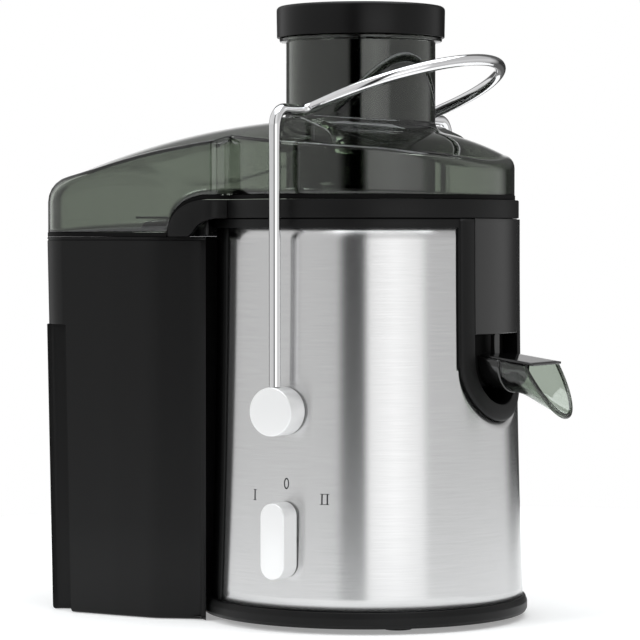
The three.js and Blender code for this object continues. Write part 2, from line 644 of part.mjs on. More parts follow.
// A fin on the lid's shoulder that the bail presses on.
function ear(side) {
  const top = BAIL_TOP - BAIL_R - 0.6;
  const shape = new THREE.Shape();
  shape.moveTo(-15, 284);
  shape.quadraticCurveTo(-15, top, -6, top);
  shape.lineTo(4, top);
  shape.quadraticCurveTo(24, top - 2, 29, 284);
  const [near, far] = side < 0 ? [-87, -64] : [64, 87];
  return prism(shape, 'y', near, far);
}

const pusherTube = () => lathe([
  [0, 216], [PUSHER_R - 2, 216], [PUSHER_R, 218], [PUSHER_R, HEIGHT - 3.3], [PUSHER_R - 2.2, HEIGHT - 3.3],
  [PUSHER_R - 2.2, 219], [0, 219],
]);

const pusherCap = () => lathe([
  [0, HEIGHT - 3], [39.5, HEIGHT - 3], [39.5, HEIGHT - 12], [40.9, HEIGHT - 12], [40.9, HEIGHT - 3],
  [CAP_R - 2.4, HEIGHT - 4], [CAP_R - 2.4, CHUTE_TOP + 0.4], [CAP_R, CHUTE_TOP + 0.4], [CAP_R, HEIGHT - 3],
  [CAP_R - 1, HEIGHT - 1], [CAP_R - 3, HEIGHT], [0, HEIGHT],
]);

// ---- Pulp container ----

function pulpContainer() {
  const drafted = (level) => (z) => level - CONTAINER_DRAFT * (1 - z / CONTAINER_TOP);
  const body = (level, floor, top) => outlineBody(containerDistance, -125, [
    [0, drafted(level)(floor), floor], [1, drafted(level)(floor), floor], [1, drafted(level)(top), top],
    [0, drafted(level)(top), top],
  ]);
  const bay = (radius) => ring(0, radius, -10, CONTAINER_TOP + 20);
  const grip = (side, grow) => {
    const outline = GRIP_NOTCH.map(([x, y]) => new THREE.Vector2(x, side * y));
    const settings = { depth: GRIP_TOP + 10, bevelEnabled: false };
    const geometry = new THREE.ExtrudeGeometry(new THREE.Shape(outline), settings);
    geometry.translate(grow, side * -grow, grow - 10);
    const place = geometry.attributes.position;
    for (let i = 0; i < place.count; i += 1) {
      const lean = CONTAINER_DRAFT * (1 - place.getZ(i) / CONTAINER_TOP);
      place.setXY(i, place.getX(i) + lean, place.getY(i) - side * 0.5 * lean);
    }
    return solid(geometry);
  };
  const outer = cut(body(0, 0, CONTAINER_TOP), bay(CONTAINER_BAY_R), grip(-1, 0), grip(1, 0));
  const inner = cut(
    body(-CONTAINER_T, 2.5, CONTAINER_TOP + 5), bay(CONTAINER_BAY_R + CONTAINER_T),
    grip(-1, CONTAINER_T), grip(1, CONTAINER_T),
  );
  return cut(outer, inner);
}

// ---- Assembly ----

const juicer = new THREE.Group();
juicer.position.set(AXIS_X, AXIS_Y, 0);

// Adds a solid as a named mesh.
function place(name, made, material, [x, y] = [0, 0]) {
  const { numProp, vertProperties, triVerts } = made.getMesh();
  const points = new Float32Array((vertProperties.length / numProp) * 3);
  for (let i = 0; i < points.length / 3; i += 1) {
    points.set(vertProperties.subarray(i * numProp, i * numProp + 3), i * 3);
  }
  const geometry = new THREE.BufferGeometry()
    .setAttribute('position', new THREE.BufferAttribute(points, 3))
    .setIndex(new THREE.BufferAttribute(triVerts, 1));
  geometry.computeVertexNormals();
  const mesh = new THREE.Mesh(geometry, material);
  mesh.name = name;
  mesh.position.set(x, y, 0);
  juicer.add(mesh);
}

place('bottom_cover', bottomCover(), BLACK);
place('housing', housing(), BLACK);
place('steel_jacket', steelJacket(), BRUSHED);
place('cord_gland', cordGland(), RUBBER);
Object.keys(CORNERS).forEach((corner, i) => {
  place(`foot_${corner}`, foot(), RUBBER, footPlaces()[i]);
  place(`base_screw_${corner}`, baseScrew(), STEEL, screwPlaces()[i]);
  place(`motor_damper_${corner}`, damper(), RUBBER, damperPlaces()[i]);
});

place('lower_motor_bracket', bracket(MOTOR.lowerBracket, 34), STEEL);
place('upper_motor_bracket', upperBracket(), STEEL);
place('lower_bearing', bearing(MOTOR.lowerBracket), STEEL);
place('upper_bearing', bearing(MOTOR.upperBracket), STEEL);
place('stator_core', statorCore(), LAMINATION);
place('field_coil_front', fieldCoil(-1), COPPER);
place('field_coil_rear', fieldCoil(1), COPPER);
place('brush_holder_left', brushHolder(-1), BRASS);
place('brush_holder_right', brushHolder(1), BRASS);
place('carbon_brush_left', carbonBrush(-1), LAMINATION);
place('carbon_brush_right', carbonBrush(1), LAMINATION);
place('shaft_seal', shaftSeal(), RUBBER);
place('motor_shaft', motorShaft(), STEEL);
place('armature', armature(), LAMINATION);
place('commutator', sleeve(13, 44, 57, FINE), COPPER);
place('cooling_fan', coolingFan(), WHITE);
place('drive_coupling', driveCoupling(), BLACK);

place('rotary_switch', rotarySwitch(), GREY);
place('knob_spindle', knobSpindle(), BRASS);
place('speed_knob', speedKnob(), SATIN);
place('micro_switch', microSwitch(), GREY);
place('interlock_plunger', interlockPlunger(), WHITE);
place('interlock_cam', interlockCam(), WHITE);
place('terminal_block', terminalBlock(), WHITE);
place('suppression_capacitor', capacitor(), GREY);

place('locking_bail', bail(), CHROME);
place('pivot_disc_front', pivotDisc(-1), CHROME);
place('pivot_disc_rear', pivotDisc(1), CHROME);
place('pivot_pin_front', pivotPin(-1), STEEL);
place('pivot_pin_rear', pivotPin(1), STEEL);
place('pivot_bush_front', pivotBush(-1), BLACK);
place('pivot_bush_rear', pivotBush(1), BLACK);

place('juice_bowl', juiceBowl(), BLACK);
place('spout', spout(), PALE_SMOKE);
place('strainer_basket', strainerBasket(), STEEL);
place('grater_disc', graterDisc(), STEEL);
place('lid', lid(), SMOKE);
place('pusher_tube', pusherTube(), BLACK, [CHUTE_X, 0]);
place('pusher_cap', pusherCap(), CAP_BLACK, [CHUTE_X, 0]);
place('pulp_container', pulpContainer(), BLACK);

export default juicer;
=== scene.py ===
"""A centrifugal juicer's looks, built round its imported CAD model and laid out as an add-on.

Shapes are worked out in millimetres about the base's upright axis, and turned into metres
in the frame's own place at the end.
"""
import json
import math

import bmesh
import bpy
from mathutils import Matrix, Vector


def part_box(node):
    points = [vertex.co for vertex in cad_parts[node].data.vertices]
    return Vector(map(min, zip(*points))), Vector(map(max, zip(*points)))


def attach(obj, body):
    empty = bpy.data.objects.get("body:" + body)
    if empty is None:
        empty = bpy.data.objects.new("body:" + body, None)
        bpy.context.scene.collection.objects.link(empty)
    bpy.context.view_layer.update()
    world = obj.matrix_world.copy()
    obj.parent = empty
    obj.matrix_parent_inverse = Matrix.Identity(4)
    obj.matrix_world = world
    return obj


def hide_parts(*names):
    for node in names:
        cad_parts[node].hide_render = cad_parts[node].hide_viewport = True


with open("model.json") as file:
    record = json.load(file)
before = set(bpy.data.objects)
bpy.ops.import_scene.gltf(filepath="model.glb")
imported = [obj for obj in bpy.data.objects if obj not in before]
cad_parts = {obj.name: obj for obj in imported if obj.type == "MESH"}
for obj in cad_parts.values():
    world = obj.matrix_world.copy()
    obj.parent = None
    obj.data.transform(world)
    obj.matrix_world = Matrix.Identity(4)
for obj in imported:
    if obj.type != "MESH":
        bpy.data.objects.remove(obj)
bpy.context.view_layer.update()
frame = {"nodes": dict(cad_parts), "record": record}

bl_info = {
    "name": "Centrifugal Juicer",
    "version": (1, 0, 0),
    "blender": (4, 5, 0),
    "location": "View3D > Sidebar > Juicer",
    "description": "Builds the visible pieces of a centrifugal juicer round its frame",
    "category": "Add Mesh",
}

MM = 0.001
COVER_LOW, COVER_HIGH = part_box("bottom_cover")
AXIS = Vector(((COVER_LOW.x + COVER_HIGH.x) / 2, (COVER_LOW.y + COVER_HIGH.y) / 2, 0))


def span(node):
    """Lowest and highest corners of a CAD node, in millimetres about the base's axis."""
    low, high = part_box(node)
    return (low - AXIS) / MM, (high - AXIS) / MM


# ---- Boxes, levels and radii taken from the frame, in millimetres ----

COVER = span("bottom_cover")
JACKET = span("steel_jacket")
BOWL = span("juice_bowl")
LID = span("lid")
CONTAINER = span("pulp_container")
CAP = span("pusher_cap")
TUBE = span("pusher_tube")
DISC = span("pivot_disc_front")
KNOB = span("speed_knob")
BAIL = span("locking_bail")
SPOUT = span("spout")
GLAND = span("cord_gland")
BASKET = span("strainer_basket")

JACKET_BOTTOM = JACKET[0].z
JACKET_TOP = JACKET[1].z + 4.2
RIM_TOP = BOWL[1].z
LID_FOOT = LID[0].z
HOOD_BOTTOM = CONTAINER[1].z + 0.06
CHUTE_TOP = LID[1].z
CHUTE_X = (CAP[0].x + CAP[1].x) / 2 - 1.2
CAP_R = (CAP[1].x - CAP[0].x) / 2 + 1.0
PIVOT_Z = (DISC[0].z + DISC[1].z) / 2
HOOD_END = CONTAINER[0].x + 0.3

# ---- Shapes that the frame's boxes don't give ----

JACKET_R = 94.4
JACKET_FLARE = 4.1
FLARE_SPAN = 226
COLLAR_TOP = 246.8
STEEL_SWEEP = 122.5
BEZEL_HALF = 38.2
SLOT_HALF = 28
SLOT_Z = 162
APRON_BOTTOM = 177
LID_R = 93.2
NOTCH = (-50, 78.7)
HOOD_HALF = 93
CHUTE_R = 46.6
CHUTE_WALL = 1.9
WING_START = -60
WING_END = -86
ROOF_PEAK = 309.5
ROOF_PEAK_X = -25
SEAL_HEIGHT = 2.6
BAY_R = 104
BAY_HALF = 79.6
GRIP_TOP = 181
LOOP_HALF = 72
LOOP_SLOPE = 0.37

# ---- How meshes are made ----

WELD = 1e-3
ROUND_STEPS = 128


def flare(z):
    """Radius of the jacket at a height."""
    return JACKET_R + JACKET_FLARE * ((JACKET_TOP - z) / FLARE_SPAN) ** 2


def smooth_step(t):
    t = min(max(t, 0), 1)
    return t * t * (3 - 2 * t)


# ---- Lines ----

def rounded(corners, closed=False, steps=6):
    """A line through (point..., radius) corners, with an arc at each corner that has a radius."""
    points = []
    count = len(corners)
    for i, corner in enumerate(corners):
        here, radius = Vector(corner[:-1]), corner[-1]
        if radius == 0 or (not closed and i in (0, count - 1)):
            points.append(here)
            continue
        before = (Vector(corners[i - 1][:-1]) - here).normalized()
        after = (Vector(corners[(i + 1) % count][:-1]) - here).normalized()
        half = before.angle(after) / 2
        middle = here + (before + after).normalized() * (radius / math.sin(half))
        start = here + before * (radius / math.tan(half)) - middle
        end = here + after * (radius / math.tan(half)) - middle
        sweep = start.angle(end)
        for k in range(steps + 1):
            share = k / steps
            near = math.sin((1 - share) * sweep) / math.sin(sweep)
            far = math.sin(share * sweep) / math.sin(sweep)
            points.append(middle + start * near + end * far)
    return points


def spaced(points, count):
    """The same line with a number of evenly spaced points."""
    lengths = [0]
    for a, b in zip(points, points[1:]):
        lengths.append(lengths[-1] + (b - a).length)
    made = []
    k = 0
    for i in range(count):
        want = lengths[-1] * i / (count - 1)
        while k < len(points) - 2 and lengths[k + 1] < want:
            k += 1
        step = lengths[k + 1] - lengths[k]
        made.append(points[k].lerp(points[k + 1], (want - lengths[k]) / step if step else 0))
    return made


def arc(radius, start, end, count, centre=(0, 0)):
    """Points on an arc between two angles in degrees."""
    made = []
    for i in range(count):
        angle = math.radians(start + (end - start) * i / (count - 1))
        x, y = radius * math.cos(angle), radius * math.sin(angle)
        made.append(Vector((centre[0] + x, centre[1] + y)))
    return made


# ---- Mesh making ----

def mapped_grid(bm, columns, rows, place):
    """A grid whose corners go where place(u, v) says, with u and v from 0 to 1."""
    if not bm.loops.layers.uv:
        bm.loops.layers.uv.new("UVMap")
    made = bmesh.ops.create_grid(bm, x_segments=columns, y_segments=rows, size=0.5, calc_uvs=True)
    for vert in made["verts"]:
        vert.co = place(vert.co.x + 0.5, vert.co.y + 0.5)
    return made["verts"]


def profile_grid(bm, columns, profile, place):
    """A grid whose rows follow a profile: place(u, profile point) gives each corner."""
    rows = len(profile) - 1
    return mapped_grid(bm, columns, rows, lambda u, v: place(u, profile[round(v * rows)]))


def turned(corners, steps=96, centre=(0, 0), closed=False, arc_steps=5):
    """A mesh turned from (radius, height, corner radius) corners."""
    bm = bmesh.new()
    line = rounded(corners, closed=closed, steps=arc_steps)
    if closed:
        line.append(line[0])
    verts = [bm.verts.new((r, 0, z)) for r, z in line]
    edges = [bm.edges.new(pair) for pair in zip(verts, verts[1:])]
    bmesh.ops.spin(
        bm, geom=verts + edges, cent=(0, 0, 0), axis=(0, 0, 1), dvec=(0, 0, 0),
        angle=2 * math.pi, steps=steps, use_merge=True,
    )
    bmesh.ops.translate(bm, verts=bm.verts, vec=(*centre, 0))
    bmesh.ops.remove_doubles(bm, verts=bm.verts, dist=WELD)
    bmesh.ops.recalc_face_normals(bm, faces=bm.faces)
    return bm


def lay(bm, direction, place):
    """Tips a mesh turned about Z so that it runs along a direction from a place."""
    turn = Vector((0, 0, 1)).rotation_difference(Vector(direction)).to_matrix().to_4x4()
    bmesh.ops.transform(bm, matrix=Matrix.Translation(place) @ turn, verts=bm.verts)
    return bm


def bar(bm, size, place):
    """A block of a size at a place."""
    matrix = Matrix.Translation(place) @ Matrix.Diagonal((*size, 1))
    bmesh.ops.create_cube(bm, size=1, matrix=matrix)


def thickened_outline(outline, depth):
    """A flat outline given depth. The depth is a vector."""
    bm = bmesh.new()
    face = bm.faces.new([bm.verts.new(point) for point in outline])
    made = bmesh.ops.extrude_face_region(bm, geom=[face])
    verts = [item for item in made["geom"] if isinstance(item, bmesh.types.BMVert)]
    bmesh.ops.translate(bm, verts=verts, vec=depth)
    return bm


def tube(line, radius):
    """A round bar along a line, with flat ends."""
    data = bpy.data.curves.new("tube_line", "CURVE")
    data.dimensions = "3D"
    data.bevel_depth = radius
    data.bevel_resolution = 7
    data.use_fill_caps = True
    spline = data.splines.new("POLY")
    spline.points.add(len(line) - 1)
    for point, here in zip(spline.points, line):
        point.co = (*here, 1)
    helper = bpy.data.objects.new("tube_line", data)
    bpy.context.scene.collection.objects.link(helper)
    bpy.context.view_layer.update()
    mesh = bpy.data.meshes.new_from_object(helper)
    bpy.data.objects.remove(helper)
    bm = bmesh.new()
    bm.from_mesh(mesh)
    bpy.data.meshes.remove(mesh)
    return bm


def add_modifiers(piece, wall, edge, even):
    if wall:
        shell = piece.modifiers.new("Wall", "SOLIDIFY")
        shell.thickness = wall * MM
        shell.offset = -1
        shell.use_even_offset = even
    if edge:
        bevel = piece.modifiers.new("Edges", "BEVEL")
        bevel.width = edge * MM
        bevel.segments = 2
        bevel.limit_method = "ANGLE"
        bevel.angle_limit = math.radians(50)


def piece(
    name, bm, material, body, replaces=(), wall=0.0, edge=0.0, crease=38, turn_out=False, even=True,
):
    """Turns a mesh in millimetres about the axis into a finished object that rides on a body."""
    bmesh.ops.remove_doubles(bm, verts=bm.verts, dist=WELD)
    if turn_out:
        bmesh.ops.recalc_face_normals(bm, faces=bm.faces)
    bmesh.ops.scale(bm, vec=(MM, MM, MM), verts=bm.verts)
    bmesh.ops.translate(bm, vec=AXIS, verts=bm.verts)
    mesh = bpy.data.meshes.new(name)
    bm.to_mesh(mesh)
    bm.free()
    mesh.shade_smooth()
    mesh.set_sharp_from_angle(angle=math.radians(crease))
    made = bpy.data.objects.new(name, mesh)
    bpy.context.scene.collection.objects.link(made)
    mesh.materials.append(finish(material))
    add_modifiers(made, wall, edge, even)
    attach(made, body)
    if replaces:
        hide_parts(*replaces)
    return made


# ---- Material effects that several finishes share ----

def effect_group(name, inputs, outputs):
    """An empty shader group with named inputs (name, kind, default) and outputs (name, kind)."""
    group = bpy.data.node_groups.new(name, "ShaderNodeTree")
    for label, kind, default in inputs:
        socket = group.interface.new_socket(label, in_out="INPUT", socket_type=kind)
        socket.default_value = default
    for label, kind in outputs:
        group.interface.new_socket(label, in_out="OUTPUT", socket_type=kind)
    source = group.nodes.new("NodeGroupInput")
    sink = group.nodes.new("NodeGroupOutput")
    return group, source, sink


def feed(tree, socket, value):
    """Sets a socket, or joins it where the value is itself a socket."""
    if isinstance(value, bpy.types.NodeSocket):
        tree.links.new(value, socket)
    else:
        socket.default_value = value


def add_node(tree, kind, **values):
    """A node with its sockets fed by name."""
    node = tree.nodes.new(kind)
    for label, value in values.items():
        feed(tree, node.inputs[label.replace("_", " ")], value)
    return node


def math_node(tree, operation, *values):
    node = tree.nodes.new("ShaderNodeMath")
    node.operation = operation
    for socket, value in zip(node.inputs, values):
        feed(tree, socket, value)
    return node.outputs[0]


def mix_colour(tree, share, first, second):
    node = tree.nodes.new("ShaderNodeMix")
    node.data_type = "RGBA"
    colours = [socket for socket in node.inputs if socket.type == "RGBA"]
    for socket, value in zip((node.inputs[0], *colours), (share, first, second)):
        feed(tree, socket, value)
    return next(socket for socket in node.outputs if socket.type == "RGBA")


def make_grain_group():
    """Moulded grain: a fine pebbled relief with a slow swell under it."""
    group, source, sink = effect_group(
        "Moulded grain",
        [("Scale", "NodeSocketFloat", 900.0), ("Depth", "NodeSocketFloat", 0.1)],
        [("Normal", "NodeSocketVector")],
    )
    place = group.nodes.new("ShaderNodeTexCoord").outputs["Object"]
    scale, depth = source.outputs["Scale"], source.outputs["Depth"]
    fine = add_node(group, "ShaderNodeTexNoise", Vector=place, Scale=scale, Detail=3.0)
    swell = add_node(group, "ShaderNodeTexNoise", Vector=place, Scale=18.0, Detail=1.0)
    height = math_node(group, "MULTIPLY_ADD", fine.outputs["Fac"], 1.0, swell.outputs["Fac"])
    bump = add_node(group, "ShaderNodeBump", Height=height, Strength=depth, Distance=0.0002)
    group.links.new(bump.outputs["Normal"], sink.inputs["Normal"])
    return group


def make_variation_group():
    """Slow changes of colour and gloss over a surface."""
    group, source, sink = effect_group(
        "Surface variation",
        [
            ("Color", "NodeSocketColor", (0.5, 0.5, 0.5, 1)),
            ("Other Color", "NodeSocketColor", (0.4, 0.4, 0.4, 1)),
            ("Scale", "NodeSocketFloat", 20.0),
            ("Roughness", "NodeSocketFloat", 0.4),
            ("Spread", "NodeSocketFloat", 0.05),
        ],
        [("Color", "NodeSocketColor"), ("Roughness", "NodeSocketFloat")],
    )
    place = group.nodes.new("ShaderNodeTexCoord").outputs["Object"]
    noise = add_node(
        group, "ShaderNodeTexNoise", Vector=place, Scale=source.outputs["Scale"], Detail=4.0,
    )
    cloud = noise.outputs["Fac"]
    colour = mix_colour(group, cloud, source.outputs["Color"], source.outputs["Other Color"])
    group.links.new(colour, sink.inputs["Color"])
    centred = math_node(group, "SUBTRACT", cloud, 0.5)
    change = math_node(group, "MULTIPLY", centred, source.outputs["Spread"])
    rough = math_node(group, "ADD", change, source.outputs["Roughness"])
    group.links.new(rough, sink.inputs["Roughness"])
    return group


def make_brush_group():
    """Brushed lines along U, in the piece's own UV map."""
    group, source, sink = effect_group(
        "Brushed lines",
        [
            ("Color", "NodeSocketColor", (0.6, 0.6, 0.6, 1)),
            ("Other Color", "NodeSocketColor", (0.5, 0.5, 0.5, 1)),
            ("Along", "NodeSocketFloat", 9.0),
            ("Across", "NodeSocketFloat", 420.0),
            ("Depth", "NodeSocketFloat", 0.2),
        ],
        [("Color", "NodeSocketColor"), ("Normal", "NodeSocketVector")],
    )
    place = group.nodes.new("ShaderNodeTexCoord").outputs["UV"]
    along, across = source.outputs["Along"], source.outputs["Across"]
    scale = add_node(group, "ShaderNodeCombineXYZ", X=along, Y=across, Z=1.0)
    stretched = group.nodes.new("ShaderNodeVectorMath")
    stretched.operation = "MULTIPLY"
    group.links.new(place, stretched.inputs[0])
    group.links.new(scale.outputs[0], stretched.inputs[1])
    noise = add_node(
        group, "ShaderNodeTexNoise", Vector=stretched.outputs[0], Scale=1.0, Detail=5.0,
        Roughness=0.7,
    )
    lines = noise.outputs["Fac"]
    colour = mix_colour(group, lines, source.outputs["Color"], source.outputs["Other Color"])
    depth = source.outputs["Depth"]
    bump = add_node(group, "ShaderNodeBump", Height=lines, Strength=depth, Distance=0.0001)
    group.links.new(colour, sink.inputs["Color"])
    group.links.new(bump.outputs["Normal"], sink.inputs["Normal"])
    return group


def group_of(name):
    makers = {
        "Moulded grain": make_grain_group,
        "Surface variation": make_variation_group,
        "Brushed lines": make_brush_group,
    }
    return bpy.data.node_groups.get(name) or makers[name]()


def place_group(tree, name, **values):
    node = tree.nodes.new("ShaderNodeGroup")
    node.node_tree = group_of(name)
    for label, value in values.items():
        node.inputs[label.replace("_", " ")].default_value = value
    return node


# ---- Finishes ----

def shade(colour, share):
    return tuple(c * share for c in colour[:3]) + (1,)


def new_material(name, **values):
    """A Principled material with uniform values set by socket name."""
    material = bpy.data.materials.new(name)
    material.use_nodes = True
    shader = material.node_tree.nodes["Principled BSDF"]
    for label, value in values.items():
        shader.inputs[label.replace("_", " ")].default_value = value
    return material, material.node_tree, shader


def surface(
    name, colour, roughness, metallic=0.0, spread=0.08, other=0.8, grain=None, cloud=25.0, **plain,
):
    """A Principled finish with varied colour and gloss, and grain where it has any."""
    material, tree, shader = new_material(name, Metallic=metallic, **plain)
    varied = place_group(
        tree, "Surface variation", Color=(*colour[:3], 1), Other_Color=shade(colour, other),
        Scale=cloud, Roughness=roughness, Spread=spread,
    )
    tree.links.new(varied.outputs["Color"], shader.inputs["Base Color"])
    tree.links.new(varied.outputs["Roughness"], shader.inputs["Roughness"])
    if grain:
        relief = place_group(tree, "Moulded grain", Scale=grain[0], Depth=grain[1])
        tree.links.new(relief.outputs["Normal"], shader.inputs["Normal"])
    return material


def brushed_steel(name, colour):
    """Sheet steel with lines along its U direction, so its highlights spread across them."""
    material, tree, shader = new_material(
        name, Metallic=1.0, Roughness=0.22, Anisotropic=0.95, Anisotropic_Rotation=0.25,
    )
    lines = place_group(
        tree, "Brushed lines", Color=(*colour[:3], 1), Other_Color=shade(colour, 0.78),
    )
    tree.links.new(lines.outputs["Color"], shader.inputs["Base Color"])
    tree.links.new(lines.outputs["Normal"], shader.inputs["Normal"])
    tangent = tree.nodes.new("ShaderNodeTangent")
    tangent.direction_type = "UV_MAP"
    tangent.uv_map = "UVMap"
    tree.links.new(tangent.outputs[0], shader.inputs["Tangent"])
    return material


def clear_plastic(name, colour):
    """See-through moulded plastic."""
    return surface(
        name, colour, 0.03, spread=0.02, other=0.94, cloud=12.0, grain=(60.0, 0.004),
        Transmission_Weight=1.0, IOR=1.58,
    )


def perforated_steel(name, colour):
    """Strainer sheet, with fine rows of holes shown as dark pits."""
    material = surface(name, colour, 0.3, metallic=1.0)
    tree = material.node_tree
    place = tree.nodes.new("ShaderNodeTexCoord").outputs["Object"]
    cells = add_node(tree, "ShaderNodeTexVoronoi", Vector=place, Scale=620.0, Randomness=0.15)
    bump = add_node(
        tree, "ShaderNodeBump", Height=cells.outputs["Distance"], Strength=0.8, Distance=0.0004,
    )
    tree.links.new(bump.outputs["Normal"], tree.nodes["Principled BSDF"].inputs["Normal"])
    return material


def plain_finishes(colours):
    """Colour, roughness and other settings of the finishes that surface() makes."""
    return {
        "black_plastic": (colours.housing, 0.42, dict(
            grain=(1500.0, 0.14), spread=0.05, Specular_IOR_Level=0.22)),
        "cap_plastic": (colours.cap, 0.3, dict(
            grain=(700.0, 0.02), spread=0.04, Specular_IOR_Level=0.22)),
        "gloss_black": ((0.004, 0.004, 0.004), 0.1, dict(
            grain=(60.0, 0.004), spread=0.03, Specular_IOR_Level=0.8)),
        "apron_black": ((0.006, 0.006, 0.006), 0.3, dict(
            grain=(1200.0, 0.05), spread=0.04, Specular_IOR_Level=0.7)),
        "cavity_black": ((0.002, 0.002, 0.002), 0.55, dict(spread=0.04, Specular_IOR_Level=0.1)),
        "mark_ink": ((0.01, 0.01, 0.012), 0.5, dict(grain=(1200.0, 0.05))),
        "rubber": ((0.012, 0.012, 0.012), 0.8, dict(grain=(600.0, 0.15))),
        "chrome": ((0.86, 0.86, 0.87), 0.04, dict(metallic=1.0, spread=0.02, other=0.97)),
        "satin_metal": ((0.84, 0.84, 0.84), 0.33, dict(
            metallic=0.45, grain=(2400.0, 0.03), spread=0.04, other=0.98)),
        "steel": ((0.52, 0.53, 0.54), 0.3, dict(metallic=1.0, spread=0.1)),
        "laminated_iron": ((0.16, 0.165, 0.17), 0.5, dict(metallic=0.9)),
        "copper": ((0.62, 0.24, 0.1), 0.35, dict(metallic=1.0)),
        "brass": ((0.7, 0.5, 0.18), 0.35, dict(metallic=1.0)),
        "white_plastic": ((0.72, 0.72, 0.68), 0.45, dict(grain=(900.0, 0.05), other=0.92)),
        "grey_plastic": ((0.26, 0.27, 0.28), 0.5, dict(grain=(900.0, 0.08))),
    }


def make_finish(name):
    colours = bpy.context.scene.juicer_colours
    if name == "smoke_plastic":
        return clear_plastic(name, colours.smoke)
    if name == "pale_smoke_plastic":
        return clear_plastic(name, colours.pale_smoke)
    if name == "brushed_steel":
        return brushed_steel(name, colours.steel)
    if name == "strainer_sheet":
        return perforated_steel(name, (0.55, 0.56, 0.57))
    colour, roughness, settings = plain_finishes(colours)[name]
    return surface(name, colour, roughness, **settings)


FINISHES = {}


def finish(name):
    """The material of a finish. The frame's own materials have the same names, and aren't used."""
    if name not in FINISHES:
        FINISHES[name] = make_finish(name)
    return FINISHES[name]


# ---- Outlines seen from above ----

def lid_outline(margin=0.0, count=320):
    """The lid's plan, from the notch in front, round the spout side and back by the hood."""
    notch_angle = math.degrees(math.atan2(NOTCH[1], NOTCH[0]))
    round_part = arc(LID_R, -notch_angle, notch_angle, 90)
    side = [(-57, 88, 3.2), (-78, 92, 0.8), (-125, HOOD_HALF, 0), (HOOD_END, HOOD_HALF, 30)]
    mirrored = [(x, -y, radius) for x, y, radius in reversed(side)]
    hood = rounded([(*round_part[-1], 0), *side, *mirrored, (*round_part[0], 0)], steps=10)
    points = spaced(round_part + hood[1:], count + 1)
    return [grown(points, i, margin) for i in range(count + 1)]


def grown(points, i, margin):
    """A point of a closed line moved out by a margin."""
    last = len(points) - 1
    before = points[(i - 1) % last]
    after = points[(i + 1) % last]
    along = (after - before).normalized()
    return points[i % last] + Vector((along.y, -along.x)) * margin


def roof(x, y):
    """Height of the lid's roof, highest just behind the chute and falling off at both ends."""
    fall = 0.0017 if x > ROOF_PEAK_X else 0.0012
    drop = 0.005 * max(x - 50, 0) ** 2 + 0.004 * max(-165 - x, 0) ** 2
    return ROOF_PEAK - fall * (x - ROOF_PEAK_X) ** 2 - 0.0018 * y * y - drop


def shoulder_radius(x):
    """The roof's edge is crisp along the sides and soft at the two ends."""
    return 2.4 + 14 * smooth_step((-135 - x) / 50) + 6 * smooth_step((x - 62) / 28)


def lid_edge(x):
    """Height of the lid's lower edge, which dips with the wing of the bowl's rim."""
    return wing_height(x, WING_START, RIM_TOP + 0.3, WING_END - 0.6, HOOD_BOTTOM)


def wing_height(x, start_x, start_z, end_x, end_z):
    """Height of a line that runs level, then dips through a quarter of an ellipse."""
    if x >= start_x:
        return start_z
    if x <= end_x:
        return end_z
    share = (start_x - x) / (start_x - end_x)
    return end_z + (start_z - end_z) * math.sqrt(1 - share * share)


# ---- Settings ----

def length_setting(name, description, default):
    return bpy.props.FloatProperty(
        name=name, description=description, default=default, min=0.001, unit="LENGTH",
    )


def colour_setting(name, description, default):
    return bpy.props.FloatVectorProperty(
        name=name, description=description, default=default, subtype="COLOR", size=3, min=0, max=1,
    )


class JuicerSizes(bpy.types.PropertyGroup):
    """Sizes that change how the juicer looks without moving its frame."""

    lid_wall: length_setting("Lid wall", "Thickness of the clear lid", 0.0023)
    rod_radius: length_setting("Rod radius", "Radius of the locking bail's rod", 0.0035)
    mark_height: length_setting("Mark height", "Height of the marks round the knob", 0.0062)
    bezel_proud: length_setting("Bezel height", "How far the slot's bezel stands out", 0.0023)


class JuicerColours(bpy.types.PropertyGroup):
    """Colours of the main finishes."""

    housing: colour_setting("Housing", "Black of the moulded parts", (0.0035, 0.0035, 0.0036))
    cap: colour_setting("Cap", "Black of the pusher's cap", (0.003, 0.003, 0.0031))
    smoke: colour_setting("Lid", "Tint of the clear lid", (0.34, 0.375, 0.325))
    pale_smoke: colour_setting("Spout", "Tint of the clear spout", (0.42, 0.48, 0.41))
    steel: colour_setting("Steel", "Colour of the brushed jacket", (0.75, 0.75, 0.752))


# ---- Stage ----

CAMERA_AZIMUTH = 30
CAMERA_DISTANCE = 1850
CAMERA_HEIGHT = 237
CAMERA_LENS = 166.5
AIM = Vector((-24.4, -14.1, 183.9))
FLOOR_RADIUS = 0.62

# Name, place, width and power of each light, in metres and watts.
LIGHTS = (
    ("top_softbox", (0.1, 0.1, 2.6), 2.6, 50),
    ("left_softbox", (-1.2, -2.7, 1.5), 1.1, 40),
)

# Each stop is an angle from the camera's side, positive to the right as the camera sees it,
# then the level near eye height and the level above and below that.
SURROUNDINGS = (
    (-180, 0.9, 0.25), (-172, 0.9, 0.25), (-168, 0.1, 0.25), (-148, 0.1, 0.3),
    (-142, 0.85, 0.8), (-110, 0.68, 0.78), (-40, 0.66, 0.74), (-21, 0.58, 0.7),
    (-15, 0.0, 0.1), (-1, 0.0, 0.1), (3, 1.35, 0.8), (22, 1.65, 0.9), (42, 1.3, 0.8),
    (48, 0.7, 0.6), (125, 0.68, 0.55), (140, 0.04, 0.12), (170, 0.04, 0.12), (176, 0.9, 0.25),
)


